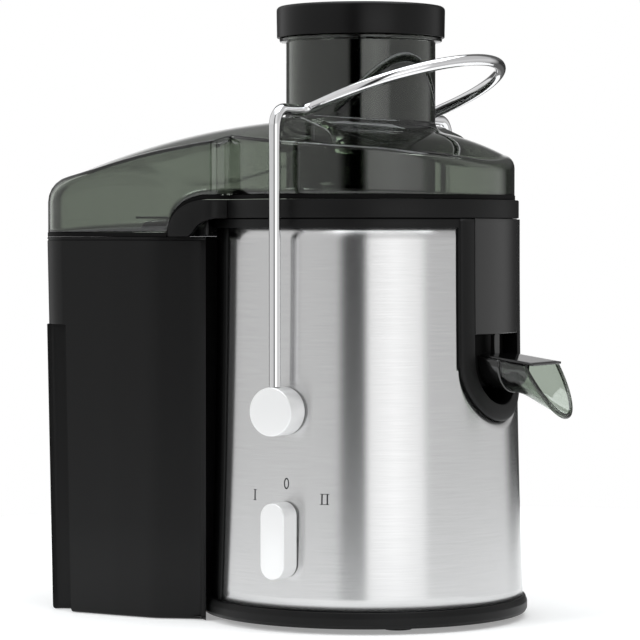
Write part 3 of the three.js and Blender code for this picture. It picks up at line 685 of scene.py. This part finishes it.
class JUICER_OT_stage(bpy.types.Operator):
    """Make the camera, the floor, the lights and the surroundings."""

    bl_idname = "juicer.stage"
    bl_label = "Stage"

    def execute(self, context):
        self.add_camera(context.scene)
        self.add_floor()
        self.add_lights()
        self.add_surroundings(context.scene)
        context.scene.view_settings.view_transform = "Standard"
        return {"FINISHED"}

    def add_camera(self, scene):
        data = bpy.data.cameras.new("camera")
        data.lens = CAMERA_LENS
        data.sensor_width = 36
        data.clip_end = 50
        camera = bpy.data.objects.new("camera", data)
        scene.collection.objects.link(camera)
        angle = math.radians(CAMERA_AZIMUTH)
        place = Vector((math.sin(angle), -math.cos(angle), 0)) * CAMERA_DISTANCE
        place.z = CAMERA_HEIGHT
        camera.location = place * MM + AXIS
        camera.rotation_euler = (AIM - place).to_track_quat("-Z", "Y").to_euler()
        scene.camera = camera

    def add_floor(self):
        """A small pale table top. It glows a little, to stay as white as its surroundings."""
        bm = bmesh.new()
        bmesh.ops.create_circle(bm, cap_ends=True, segments=96, radius=FLOOR_RADIUS)
        bmesh.ops.translate(bm, verts=bm.verts, vec=(0, 0.12, -0.0004))
        mesh = bpy.data.meshes.new("floor")
        bm.to_mesh(mesh)
        bm.free()
        floor = bpy.data.objects.new("floor", mesh)
        bpy.context.scene.collection.objects.link(floor)
        mesh.materials.append(surface(
            "floor_paper", (0.8, 0.8, 0.8), 0.7, spread=0.02, other=0.985, cloud=3.0,
            Specular_IOR_Level=0.1, Emission_Color=(1, 1, 1, 1), Emission_Strength=0.3,
        ))

    def add_lights(self):
        for name, place, size, power in LIGHTS:
            data = bpy.data.lights.new(name, "AREA")
            data.shape = "SQUARE"
            data.size = size
            data.energy = power
            data.color = (0.95, 0.985, 1.0)
            light = bpy.data.objects.new(name, data)
            bpy.context.scene.collection.objects.link(light)
            light.location = place
            light.visible_glossy = name == "top_softbox"
            toward = Vector((0, 0, 0.2)) - Vector(place)
            light.rotation_euler = toward.to_track_quat("-Z", "Y").to_euler()

    def add_surroundings(self, scene):
        """A studio that reads as white behind, with panels and dark gaps round the sides."""
        world = bpy.data.worlds.new("studio")
        world.use_nodes = True
        scene.world = world
        tree = world.node_tree
        toward = tree.nodes.new("ShaderNodeTexCoord").outputs["Generated"]
        parts = add_node(tree, "ShaderNodeSeparateXYZ", Vector=toward)
        angle = math_node(tree, "ARCTAN2", parts.outputs["Y"], parts.outputs["X"])
        share = math_node(tree, "MULTIPLY_ADD", angle, 1 / (2 * math.pi), 0.5)
        near, far = (self.ramp(tree, share, level) for level in (1, 2))
        up = math_node(tree, "ABSOLUTE", parts.outputs["Z"])
        away = tree.nodes.new("ShaderNodeMapRange")
        away.interpolation_type = "SMOOTHSTEP"
        for label, value in (("From Min", 0.1), ("From Max", 0.26)):
            away.inputs[label].default_value = value
        tree.links.new(up, away.inputs["Value"])
        studio = mix_colour(tree, away.outputs["Result"], near, far)
        path = tree.nodes.new("ShaderNodeLightPath")
        shown = mix_colour(tree, path.outputs["Is Camera Ray"], studio, (1, 1, 1, 1))
        tree.links.new(shown, tree.nodes["Background"].inputs["Color"])

    def ramp(self, tree, share, level):
        """A band of levels round the horizon, turned from the camera's angles to the world's."""
        node = tree.nodes.new("ShaderNodeValToRGB")
        tree.links.new(share, node.inputs[0])
        turn = CAMERA_AZIMUTH - 90 + 180
        stops = sorted(((stop[0] + turn) % 360 / 360, stop[level]) for stop in SURROUNDINGS)
        first, last = stops[0], stops[-1]
        gap = first[0] + 1 - last[0]
        seam = last[1] + (first[1] - last[1]) * (1 - last[0]) / gap
        stops = [(0.0, seam)] + stops + [(1.0, seam)]
        elements = node.color_ramp.elements
        while len(elements) < len(stops):
            elements.new(0.5)
        for element, (place, value) in zip(elements, stops):
            element.position = place
            element.color = (value, value, value, 1)
        return node.outputs["Color"]


# ---- Base ----

def round_place(radius, degrees, z):
    angle = math.radians(degrees)
    return Vector((radius * math.cos(angle), radius * math.sin(angle), z))


def slot_line(half, top, count=61):
    """The slot's outline as (across, height): down one side, round the bottom and up."""
    round_part = arc(half, 180, 360, 41, centre=(0, SLOT_Z))
    return spaced([Vector((-half, top)), *round_part, Vector((half, top))], count)


class JUICER_OT_base(bpy.types.Operator):
    """Make the bottom cover, its feet and screws, the housing and the gland."""

    bl_idname = "juicer.base"
    bl_label = "Base"

    def execute(self, context):
        self.add_cover()
        self.add_feet_and_screws()
        self.add_housing(context.scene.juicer_sizes.bezel_proud / MM)
        self.add_gland()
        return {"FINISHED"}

    def add_cover(self):
        radius, low, top = COVER[1].x, COVER[0].z, COVER[1].z
        bm = turned([
            (0, low, 0), (radius - 1.2, low, 1), (radius, low + 2.2, 1.2), (radius, top - 3.5, 1),
            (radius - 1.4, top, 0.8), (84, top, 0), (84, 6, 0), (0, 6, 0),
        ], steps=ROUND_STEPS)
        for i in range(7):
            bar(bm, (60, 4, 0.8), (0, -33 + i * 11, low))
        piece("bottom_shell", bm, "black_plastic", "base", ["bottom_cover"])

    def add_feet_and_screws(self):
        for corner in ("rear_right", "rear_left", "front_left", "front_right"):
            low, high = span(f"foot_{corner}")
            radius = (high.x - low.x) / 2
            bm = turned([
                (0, 0.4, 0), (radius * 0.6, 0.4, 0.2), (radius * 0.7, 0, 0.3), (radius, 0, 0.8),
                (radius, high.z, 0), (0, high.z, 0),
            ], steps=40, centre=((low + high) / 2).xy)
            piece(f"rubber_foot_{corner}", bm, "rubber", "base", [f"foot_{corner}"])
            low, high = span(f"base_screw_{corner}")
            bm = turned([
                (0, 5.2, 0), (1.6, 5.2, 0), (2, 3.9, 0.1), (3.6, 3.9, 0.4), (3.9, 5.8, 0),
                (1.9, 5.8, 0), (1.9, high.z, 0), (0, high.z, 0),
            ], steps=24, centre=((low + high) / 2).xy)
            piece(f"screw_{corner}", bm, "steel", "base", [f"base_screw_{corner}"])

    def add_housing(self, proud):
        bm = bmesh.new()
        self.add_spine(bm)
        self.add_collar(bm)
        self.add_bezel(bm, proud)
        piece(
            "housing_shell", bm, "black_plastic", "base", ["housing"],
            wall=1.0, crease=32, even=False,
        )

    def add_spine(self, bm):
        """The wall towards the pulp container, with a lip beside each end of the steel."""
        start, sweep = STEEL_SWEEP + 0.35, 360 - 2 * STEEL_SWEEP - 0.7

        def place(u, v):
            z = JACKET_BOTTOM + (JACKET_TOP - JACKET_BOTTOM) * v
            side = min(u, 1 - u) * sweep
            depth = 0.25 - 2.2 * smooth_step((side - 3.2) / 0.7)
            return round_place(flare(z) + depth, start + sweep * u, z)

        mapped_grid(bm, 150, 24, place)

    def add_collar(self, bm):
        inner, outer = JACKET_R - 5, JACKET_R + 0.9
        low, high = JACKET_TOP - 0.8, COLLAR_TOP
        profile = rounded([
            (inner, low, 0), (outer, low, 0.5), (outer, high, 0.6), (inner, high, 0),
        ], steps=3)
        edge = math.degrees(math.asin(SLOT_HALF / outer)) + 0.6

        def place(u, step):
            return round_place(step.x, edge + (360 - 2 * edge) * u, step.y)

        profile_grid(bm, 190, profile, place)

    def add_bezel(self, bm, proud):
        """The raised band round the spout's slot. Its profile is (share across, height out)."""
        inside = slot_line(SLOT_HALF, COLLAR_TOP - 0.15, 91)
        outside = slot_line(BEZEL_HALF + 0.2, COLLAR_TOP - 0.15, 91)
        profile = [
            (0, -12), (0, -1), (0, proud - 0.7), (0.03, proud - 0.25), (0.1, proud), (0.86, proud),
            (0.95, proud - 0.3), (1, proud - 0.9), (1, -1.6),
        ]

        def place(u, step):
            i = round((1 - u) * 90)
            flat = inside[i].lerp(outside[i], step[0])
            radius = flare(flat.y) + step[1]
            return Vector((math.sqrt(radius ** 2 - flat.x ** 2), flat.x, flat.y))

        profile_grid(bm, 90, profile, place)

    def add_gland(self):
        low, high = GLAND
        middle = Vector(((low.x + high.x) / 2, low.y, (low.z + high.z) / 2))
        depth = high.y - low.y
        bm = turned([
            (3.6, 0, 0), (6.5, 0, 0), (6.5, 9.2, 0), (9, 9.2, 0.4), (8, depth - 0.8, 0.6),
            (3.6, depth, 0.4),
        ], steps=48, closed=True, arc_steps=3)
        piece("cord_gland_ring", lay(bm, (0, 1, 0), middle), "rubber", "base", ["cord_gland"])


class JUICER_OT_jacket(bpy.types.Operator):
    """Wrap the brushed steel round the base, cut out for the spout."""

    bl_idname = "juicer.jacket"
    bl_label = "Steel jacket"

    def execute(self, context):
        bm = bmesh.new()
        half = BEZEL_HALF + 0.4
        top = JACKET_TOP - 0.6
        rows = 30
        low_rows = round(rows * (SLOT_Z - JACKET_BOTTOM) / (top - JACKET_BOTTOM))

        def height(v):
            row = round(v * rows)
            if row <= low_rows:
                return JACKET_BOTTOM + (SLOT_Z - JACKET_BOTTOM) * row / low_rows
            return SLOT_Z + (top - SLOT_Z) * (row - low_rows) / (rows - low_rows)

        def side_place(sign):
            def place(u, v):
                z = height(v)
                near = math.degrees(math.asin(half / flare(z)))
                degrees = near + (STEEL_SWEEP - near) * (u if sign > 0 else 1 - u)
                return round_place(flare(z), sign * degrees, z)
            return place

        def middle_place(u, v):
            turn = (u - 0.5) * math.pi
            across = half * math.sin(turn)
            z = JACKET_BOTTOM + (SLOT_Z - half * math.cos(turn) - JACKET_BOTTOM) * v
            return Vector((math.sqrt(flare(z) ** 2 - across ** 2), across, z))

        for sign in (-1, 1):
            verts = mapped_grid(bm, 90, rows, side_place(sign))
            self.set_uv(bm, verts)
        self.set_uv(bm, mapped_grid(bm, 48, low_rows, middle_place))
        piece("steel_wrap", bm, "brushed_steel", "base", ["steel_jacket"], wall=0.9, crease=30)
        self.add_marks(context.scene.juicer_sizes.mark_height / MM)
        return {"FINISHED"}

    def set_uv(self, bm, verts):
        """U runs round the jacket and V up it, both the same on every panel."""
        layer = bm.loops.layers.uv.active
        chosen = set(verts)
        for face in bm.faces:
            if face.verts[0] in chosen:
                for loop in face.loops:
                    here = loop.vert.co
                    loop[layer].uv = (math.atan2(here.y, here.x) / math.pi, here.z / 300)

    def add_marks(self, height):
        """The switch's positions: a nought between one bar and two."""
        bm = bmesh.new()
        self.add_nought(bm, (KNOB[0].x + KNOB[1].x) / 2, 88.5, height)
        self.add_numeral(bm, [-22.3], 80.6, height)
        self.add_numeral(bm, [24.4, 27.6], 79.8, height)
        for vert in bm.verts:
            radius = flare(vert.co.z) - vert.co.y
            vert.co.y = -math.sqrt(radius ** 2 - vert.co.x ** 2)
        piece("switch_marks", bm, "mark_ink", "base", turn_out=True)

    def add_numeral(self, bm, places, z, height):
        """Upright bars at some places across, between two serifs."""
        for x in places:
            bar(bm, (0.85, 0.24, height), (x, 0, z))
        middle = sum(places) / len(places)
        width = places[-1] - places[0] + 2.4
        for end in (-1, 1):
            bar(bm, (width, 0.24, 0.35), (middle, 0, z + end * height / 2))

    def add_nought(self, bm, x, z, height):
        profile = [(0.62, -0.12), (1, -0.12), (1, 0.12), (0.62, 0.12), (0.62, -0.12)]

        def place(u, step):
            angle = 2 * math.pi * u
            wide = height * 0.28 * step[0]
            tall = height * 0.55 * (0.35 + 0.65 * step[0])
            return Vector((x + wide * math.cos(angle), -step[1], z + tall * math.sin(angle)))

        profile_grid(bm, 40, profile, place)


# ---- Switch and bail ----

class JUICER_OT_knob(bpy.types.Operator):
    """Make the bar-shaped speed knob."""

    bl_idname = "juicer.knob"
    bl_label = "Speed knob"

    def execute(self, context):
        low, high = KNOB
        x, z = (low.x + high.x) / 2, (low.z + high.z) / 2
        half = (high.x - low.x) / 2
        reach = (high.z - low.z) / 2 - half
        outline = [
            *arc(half, 0, 180, 25, centre=(x, z + reach)),
            *arc(half, 180, 360, 25, centre=(x, z - reach)),
        ]
        points = [(p.x, high.y, p.y) for p in outline]
        bm = thickened_outline(points, (0, low.y - high.y, 0))
        front = [e for e in bm.edges if all(abs(v.co.y - low.y) < 0.01 for v in e.verts)]
        bmesh.ops.bevel(
            bm, geom=front, offset=1.0, offset_type="OFFSET", segments=4, profile=0.5,
            affect="EDGES", material=-1,
        )
        piece("speed_knob_bar", bm, "satin_metal", "knob", ["speed_knob"], turn_out=True)
        self.add_seat(x, z)
        return {"FINISHED"}

    def add_seat(self, x, z):
        """The dark collar between the knob and the steel."""
        bm = turned([(0, 0, 0), (7.4, 0, 0), (7.4, 1.4, 0.3), (0, 1.4, 0)], steps=48)
        piece("knob_seat", lay(bm, (0, -1, 0), (x, 0.9 - flare(z), z)), "gloss_black", "base")


class JUICER_OT_bail(bpy.types.Operator):
    """Bend the chromed rod and make its two pivot discs."""

    bl_idname = "juicer.bail"
    bl_label = "Locking bail"

    def execute(self, context):
        self.add_rod(context.scene.juicer_sizes.rod_radius / MM)
        for side, name in ((-1, "front"), (1, "rear")):
            self.add_disc(side, name)
        return {"FINISHED"}

    def add_rod(self, radius):
        side = BAIL[1].y - radius
        foot = BAIL[0].z
        reach, loop_top = BAIL[1].x - radius, BAIL[1].z - radius
        corner_z = loop_top - reach * LOOP_SLOPE
        half = [
            (0, side, foot, 0), (0, side, corner_z, 10.5), (0, LOOP_HALF, corner_z, 7),
            (reach, LOOP_HALF, loop_top, LOOP_HALF - 0.3),
        ]
        corners = [(x, -y, z, r) for x, y, z, r in half] + half[::-1]
        bm = tube(rounded(corners, steps=22), radius)
        piece("bail_rod", bm, "chrome", "bail", ["locking_bail"], turn_out=True)

    def add_disc(self, side, name):
        low, high = span(f"pivot_disc_{name}")
        radius = (high.z - low.z) / 2
        depth = high.y - low.y
        near = low.y if side > 0 else high.y
        bm = turned([
            (0, 0, 0), (radius, 0, 0.4), (radius, depth, 0.9), (0, depth, 0),
        ], steps=96)
        lay(bm, (0, side, 0), (0, near, PIVOT_Z))
        piece(f"pivot_cap_{name}", bm, "satin_metal", "bail", [f"pivot_disc_{name}"], turn_out=True)


# ---- Bowl and spout ----

class JUICER_OT_bowl(bpy.types.Operator):
    """Make the juice bowl: its vessel, rim, wings, apron and pulp shelf."""

    bl_idname = "juicer.bowl"
    bl_label = "Juice bowl"

    def execute(self, context):
        proud = context.scene.juicer_sizes.bezel_proud / MM
        vessel = turned([
            (20, 144, 0), (87, 144, 6), (87, 250.3, 0), (85, 250.3, 0), (85, 151, 5),
            (24.5, 146.4, 1), (24.5, 189, 0.5), (22.4, 189, 0.5), (22.4, 146, 0), (20, 146, 0),
        ], closed=True, steps=ROUND_STEPS)
        piece("bowl_vessel", vessel, "cavity_black", "base", ["juice_bowl"])
        bm = bmesh.new()
        self.add_rim(bm)
        bmesh.ops.remove_doubles(bm, verts=bm.verts, dist=WELD)
        bmesh.ops.holes_fill(bm, edges=[e for e in bm.edges if e.is_boundary], sides=0)
        bar(bm, (26, 148, 2.6), (WING_END + 8, 0, HOOD_BOTTOM + 1.6))
        piece("bowl_rim", bm, "black_plastic", "base", crease=32, turn_out=True)
        bm = bmesh.new()
        self.add_shelf(bm)
        piece("pulp_shelf", bm, "black_plastic", "base", wall=1.2, crease=32)
        bm = bmesh.new()
        self.add_apron(bm, proud)
        piece("bowl_apron", bm, "apron_black", "base", wall=2.2, edge=0.5)
        return {"FINISHED"}

    def add_rim(self, bm):
        """The band that the lid sits on, with a wing running down beside the container's hood."""
        outer, inner = lid_outline(2.6), lid_outline(-1.2)
        last = len(outer) - 1
        keep = [i for i in range(last + 1) if outer[i].x >= WING_END - 0.2]
        turn = max(range(1, len(keep)), key=lambda k: keep[k] - keep[k - 1])
        order = keep[turn:] + keep[:turn] if keep[turn] - keep[turn - 1] > 1 else keep

        def place(u, step):
            i = order[round(u * (len(order) - 1))]
            x = outer[i].x
            low = wing_height(x, NOTCH[0], COLLAR_TOP + 0.5, WING_END + 17, HOOD_BOTTOM)
            top = max(wing_height(x, WING_START, RIM_TOP, WING_END, HOOD_BOTTOM), low + 0.1)
            flat = inner[i].lerp(outer[i], step[0])
            return Vector((flat.x, flat.y, low + (top - low) * step[1] + step[2]))

        profile = [
            (0, 0, 0), (0.85, 0, 0), (0.97, 0, 0.15), (1, 0, 0.6), (1, 1, -0.8), (0.96, 1, -0.25),
            (0.85, 1, 0), (0, 1, 0), (0, 0, 0),
        ]
        profile_grid(bm, len(order) - 1, profile, place)

    def add_shelf(self, bm):
        """The shelf that carries pulp over to the container."""
        outline = [p for p in lid_outline(-3.5) if p.x < -20]
        inner, skirt, end = 85.5, 107, 112
        low, high = HOOD_BOTTOM + 0.6, COLLAR_TOP + 1.6

        def place(u, v):
            angle = math.radians(248 - 136 * u)
            toward = Vector((math.cos(angle), math.sin(angle)))
            far = max(outline, key=lambda p: p.normalized().dot(toward))
            reach = min(far.length, end / max(abs(toward.x), 0.01))
            flat = toward * (inner + (max(reach, inner + 2.5) - inner) * v)
            return Vector((flat.x, flat.y, high))

        mapped_grid(bm, 60, 4, place)

        def skirt_place(u, v):
            return round_place(skirt, 124 + 112 * u, low + (high - low) * v)

        mapped_grid(bm, 60, 1, skirt_place)

    def add_apron(self, bm, proud):
        """The panel that closes the slot over the spout."""
        half = SLOT_HALF - 0.45

        def place(u, v):
            across = half * (2 * u - 1)
            z = APRON_BOTTOM + (COLLAR_TOP + 0.2 - APRON_BOTTOM) * v
            radius = flare(z) + proud - 0.25
            return Vector((math.sqrt(radius ** 2 - across ** 2), across, z))

        mapped_grid(bm, 40, 24, place)


class JUICER_OT_spout(bpy.types.Operator):
    """Make the clear spout, its slanted lip, its dark root and cover, and the stop over it."""

    bl_idname = "juicer.spout"
    bl_label = "Spout"

    def execute(self, context):
        start, tip = SPOUT[0].x, SPOUT[1].x - 2.3
        low = SPOUT[0].z + 2.0
        half = 20.4
        top = 158.6
        depth = 19.5
        fall = 5.6

        def place(u, v):
            """U goes round the channel from edge to edge, and V along it."""
            angle = math.pi * u
            swell = smooth_step((v - 0.62) / 0.38)
            wide = half * (1 + 0.07 * swell)
            deep = depth + (top - low - depth) * swell ** 1.4
            down = deep * math.sin(angle) ** (1 - 0.18 * (1 - swell))
            reach = tip - start - 17
            x = start + reach * v + swell * 17 * (down / (top - low)) + 1.5 * swell
            return Vector((x, -wide * math.cos(angle), top - down + fall * (1 - v)))

        bm = bmesh.new()
        mapped_grid(bm, 56, 40, place)
        piece("spout_channel", bm, "pale_smoke_plastic", "base", ["spout"], wall=1.9)
        mouth = tube([place(k / 48, 1.0) - Vector((0.5, 0, 0)) for k in range(49)], 1.15)
        piece("spout_lip", mouth, "smoke_plastic", "base", turn_out=True)
        bm = bmesh.new()

        def root_place(u, v):
            near = place(u, 0.46 * v)
            return Vector((near.x, near.y * 1.035, near.z - 0.7 * math.sin(math.pi * u)))

        mapped_grid(bm, 40, 12, root_place)
        piece("spout_root", bm, "gloss_black", "base", wall=0.6, even=False)
        bm = bmesh.new()

        def cover_place(u, v):
            x = start + 1 + (126 - start) * u
            y = (2 * v - 1) * (half - 1.2)
            return Vector((x, y, top + 0.9 + fall * (1 - 0.9 * u)))

        mapped_grid(bm, 10, 12, cover_place)
        piece("spout_cover", bm, "gloss_black", "base", wall=1.6, edge=0.4)
        bm = bmesh.new()
        bar(bm, (3, 6.5, 13), (91.5, 0, 171))
        piece("spout_stop", bm, "apron_black", "base", edge=0.4)
        return {"FINISHED"}


class JUICER_OT_strainer(bpy.types.Operator):
    """Make the strainer basket."""

    bl_idname = "juicer.strainer"
    bl_label = "Strainer"

    def execute(self, context):
        rim, top = BASKET[1].x, BASKET[1].z
        bm = turned([
            (0, 189, 0), (19.5, 189, 0), (19.5, 166, 0), (21.5, 166, 0.4), (21.5, 197, 0),
            (52, 197, 1.5), (79, 251, 1), (rim, 252, 0.6), (rim, top, 0.8), (80, top, 0.8),
            (77.7, 253, 0.8), (50.7, 199, 1.5), (0, 199, 0),
        ], steps=ROUND_STEPS)
        piece("strainer_drum", bm, "strainer_sheet", "drive", ["strainer_basket"])
        return {"FINISHED"}


# ---- Lid, chute and pusher ----

class JUICER_OT_lid(bpy.types.Operator):
    """Make the clear lid with its hood, cam ears and feed chute."""

    bl_idname = "juicer.lid"
    bl_label = "Lid"

    def execute(self, context):
        wall = context.scene.juicer_sizes.lid_wall / MM
        self.add_shell(wall)
        self.add_chute()
        for side, name in ((-1, "front"), (1, "rear")):
            self.add_ear(side, name)
        return {"FINISHED"}

    def add_shell(self, wall):
        """Rows run from the lower edge up the wall, over the shoulder and in to the chute."""
        outline = lid_outline()
        last = len(outline) - 1
        centre = Vector((CHUTE_X, 0))
        fillet = 5.5
        turns = [math.radians(15 * k) for k in range(7)]
        rows = {
            "wall": [0.0, 0.2, 0.4, 0.6, 0.8, 0.94],
            "shoulder": turns,
            "roof": [0.05, 0.1, 0.17, 0.26, 0.36, 0.47, 0.58, 0.69, 0.8, 0.9, 1.0],
            "fillet": turns[1:],
        }
        steps = [(kind, value) for kind, values in rows.items() for value in values]

        def place(u, step):
            kind, value = step
            edge = outline[round(u * last) % last]
            toward = centre - edge
            direction = toward.normalized()
            gap = toward.length - CHUTE_R
            radius = shoulder_radius(edge.x)
            top = edge + direction * radius
            spring = roof(top.x, top.y) - radius
            if kind == "wall":
                low = lid_edge(edge.x) + 0.6
                return Vector((edge.x, edge.y, low + (spring - low) * value))
            if kind == "shoulder":
                flat = edge + direction * radius * (1 - math.cos(value))
                return Vector((flat.x, flat.y, spring + radius * math.sin(value)))
            if kind == "roof":
                flat = edge + direction * (radius + (gap - radius - fillet) * value)
                return Vector((flat.x, flat.y, roof(flat.x, flat.y)))
            flat = edge + direction * (gap - fillet * (1 - math.sin(value)))
            return Vector((flat.x, flat.y, roof(flat.x, flat.y) + fillet * (1 - math.cos(value))))

        bm = bmesh.new()
        profile_grid(bm, last, steps, place)
        piece("lid_shell", bm, "smoke_plastic", "base", ["lid"], wall=wall, crease=28)
        self.add_seal(wall)

    def add_seal(self, wall):
        """The dark bead that the lid's lower edge sits in."""
        inner, outline = lid_outline(-wall - 0.3), lid_outline(0.3)
        last = len(outline) - 1
        profile = [(0, 0), (1, 0), (1, SEAL_HEIGHT), (0, SEAL_HEIGHT), (0, 0)]

        def place(u, step):
            i = round(u * last) % last
            flat = inner[i].lerp(outline[i], step[0])
            return Vector((flat.x, flat.y, lid_edge(outline[i].x) + step[1]))

        bm = bmesh.new()
        profile_grid(bm, last, profile, place)
        piece("lid_seal", bm, "cavity_black", "base", turn_out=True)

    def add_chute(self):
        """The feed chute, with a lip round its mouth that the pusher's cap rests on."""
        low, top, inner = LID_FOOT, CHUTE_TOP, CHUTE_R - CHUTE_WALL
        bm = turned([
            (inner, low, 0.8), (CHUTE_R, low, 0.8), (CHUTE_R, top - 2.6, 0.5),
            (CHUTE_R + 4, top - 2, 0.8), (CHUTE_R + 4.2, top, 0.6), (inner, top, 0.7),
        ], closed=True, steps=ROUND_STEPS, centre=(CHUTE_X, 0))
        piece("feed_chute", bm, "smoke_plastic", "base")

    def add_ear(self, side, name):
        """The cam that the bail's rod presses on."""
        rod, reach, gap = 3.5, 84.6, 4.4
        top = BAIL[1].z - rod - reach * LOOP_SLOPE - gap
        outline = rounded([
            (-15, 287, 0), (-15, top, 7), (6, top, 20), (27, top - 9, 14), (30, 285, 0),
        ], steps=8)
        near, far = 66, 87
        points = [(p.x, side * near, p.y) for p in outline]
        bm = thickened_outline(points, (0, side * (far - near), 0))
        piece(f"lid_ear_{name}", bm, "smoke_plastic", "base", edge=1.2, turn_out=True)


class JUICER_OT_pusher(bpy.types.Operator):
    """Make the food pusher's tube and cap."""

    bl_idname = "juicer.pusher"
    bl_label = "Pusher"

    def execute(self, context):
        radius, low, top = (TUBE[1].x - TUBE[0].x) / 2, TUBE[0].z, TUBE[1].z
        inner = radius - 2.2
        bm = turned([
            (0, low, 0), (radius, low, 2), (radius, top, 0), (inner, top, 0),
            (inner, low + 3, 1.5), (0, low + 3, 0),
        ], steps=112, centre=(CHUTE_X, 0))
        piece("pusher_sleeve", bm, "gloss_black", "pusher", ["pusher_tube"])
        low, top = CAP[0].z, CAP[1].z
        inner, dish = CAP_R - 2.4, top - 0.7
        bm = turned([
            (0, top - 3, 0), (inner, top - 4, 0.6), (inner, low, 0.5), (CAP_R - 0.3, low, 0.6),
            (CAP_R, top, 2.4), (CAP_R - 8, top, 2), (CAP_R - 10, dish, 1), (0, dish, 0),
        ], steps=ROUND_STEPS, centre=(CHUTE_X, 0))
        piece("pusher_lid", bm, "cap_plastic", "pusher", ["pusher_cap"])
        return {"FINISHED"}


# ---- Pulp container ----

class JUICER_OT_container(bpy.types.Operator):
    """Make the pulp container, hollowed round the base, with a grip at each far corner."""

    bl_idname = "juicer.container"
    bl_label = "Pulp container"

    def execute(self, context):
        low, top = CONTAINER[0].z, CONTAINER[1].z
        draft = 4.5
        plain, notched = self.outline(False), self.outline(True)
        last = len(plain) - 1
        heart = Vector((-125, 0))
        rows = [
            (low, 1.6), (low + 0.6, 0.5), (low + 2, 0), (60, 0), (120, 0), (GRIP_TOP - 0.2, 0),
            (GRIP_TOP, 0), (210, 0), (top - 2.6, 0), (top - 2.2, 0.5), (top - 1.8, 0.5),
            (top - 1.4, 0), (top - 0.3, 0.1), (top, 0.5),
        ]

        def place(u, row):
            z, inset = row
            flat = (notched if z < GRIP_TOP else plain)[round(u * last)]
            toward = heart - flat
            inset += draft * (1 - z / top)
            moved = flat + toward.normalized() * inset
            if abs(flat.length - BAY_R) < 1.5:
                moved = flat
            return Vector((moved.x, moved.y, z))

        bm = bmesh.new()
        profile_grid(bm, last, rows, place)
        bmesh.ops.remove_doubles(bm, verts=bm.verts, dist=WELD)
        floor = [e for e in bm.edges if e.is_boundary and all(v.co.z < low + 0.01 for v in e.verts)]
        bmesh.ops.holes_fill(bm, edges=floor, sides=0)
        piece(
            "pulp_bin", bm, "black_plastic", "container", ["pulp_container"],
            wall=2.1, crease=35, even=False,
        )
        return {"FINISHED"}

    def outline(self, notched):
        """The plan, as a closed line with the same count of points cut or not."""
        end, half = CONTAINER[0].x, CONTAINER[1].y
        bay_angle = math.degrees(math.asin(BAY_HALF / BAY_R))
        start = -BAY_R * math.cos(math.radians(bay_angle)) - 1.5
        long_side = rounded([
            (start, BAY_HALF + 1.2, 0), (-74, BAY_HALF + 2.8, 3), (-98, half - 1, 30),
            (-128, half, 30), (-164, half - 0.4, 0),
        ], steps=8)
        corner = arc(30, 90, 180, 31, centre=(end + 30, half - 30))
        if notched:
            grip = rounded([
                (-164, half - 0.4, 0), (-172, half - 15, 2.5), (-182, half - 11.5, 3),
                (-184.5, half - 8.2, 0),
            ], steps=5)
            grip = spaced(grip + [p for p in corner if p.x < -185.2], 40)
        else:
            grip = spaced([Vector((-164, half - 0.4))] + [p for p in corner if p.x < -165], 40)
        side = spaced(long_side, 40) + grip[1:]
        bay = [Vector((-p.x, p.y)) for p in arc(BAY_R, -bay_angle, bay_angle, 60)]
        end_line = spaced([side[-1], Vector((side[-1].x, -side[-1].y))], 12)
        mirrored = [Vector((p.x, -p.y)) for p in reversed(side)]
        return side + end_line[1:-1] + mirrored + bay + [side[0]]


# ---- Pieces kept as the frame has them ----

class JUICER_OT_inner_works(bpy.types.Operator):
    """Give the motor, switches and other kept pieces their finishes."""

    bl_idname = "juicer.inner_works"
    bl_label = "Inner works"

    def execute(self, context):
        slots = {part["node"]: part["material_slot"] for part in frame["record"]["subparts"]}
        for name, node in frame["nodes"].items():
            material = finish(slots[name])
            if not node.data.materials:
                node.data.materials.append(material)
            for slot in node.material_slots:
                slot.material = material
        return {"FINISHED"}


class JUICER_PT_panel(bpy.types.Panel):
    """Lists the juicer's pieces and settings in the sidebar."""

    bl_idname = "JUICER_PT_panel"
    bl_label = "Juicer"
    bl_space_type = "VIEW_3D"
    bl_region_type = "UI"
    bl_category = "Juicer"

    def draw(self, context):
        for settings in (context.scene.juicer_sizes, context.scene.juicer_colours):
            for name in settings.bl_rna.properties.keys():
                if name not in ("rna_type", "name"):
                    self.layout.prop(settings, name)
        for operator in OPERATORS:
            self.layout.operator(operator.bl_idname)


OPERATORS = (
    JUICER_OT_stage, JUICER_OT_base, JUICER_OT_jacket, JUICER_OT_knob, JUICER_OT_bail,
    JUICER_OT_bowl, JUICER_OT_spout, JUICER_OT_strainer, JUICER_OT_lid, JUICER_OT_pusher,
    JUICER_OT_container, JUICER_OT_inner_works,
)
CLASSES = (JuicerSizes, JuicerColours, *OPERATORS, JUICER_PT_panel)


def register():
    for item in CLASSES:
        bpy.utils.register_class(item)
    bpy.types.Scene.juicer_sizes = bpy.props.PointerProperty(type=JuicerSizes)
    bpy.types.Scene.juicer_colours = bpy.props.PointerProperty(type=JuicerColours)


def unregister():
    del bpy.types.Scene.juicer_colours
    del bpy.types.Scene.juicer_sizes
    for item in reversed(CLASSES):
        bpy.utils.unregister_class(item)


def main():
    register()
    for operator in OPERATORS:
        getattr(bpy.ops.juicer, operator.bl_idname.split(".")[1])()


if __name__ == "__main__":
    main()
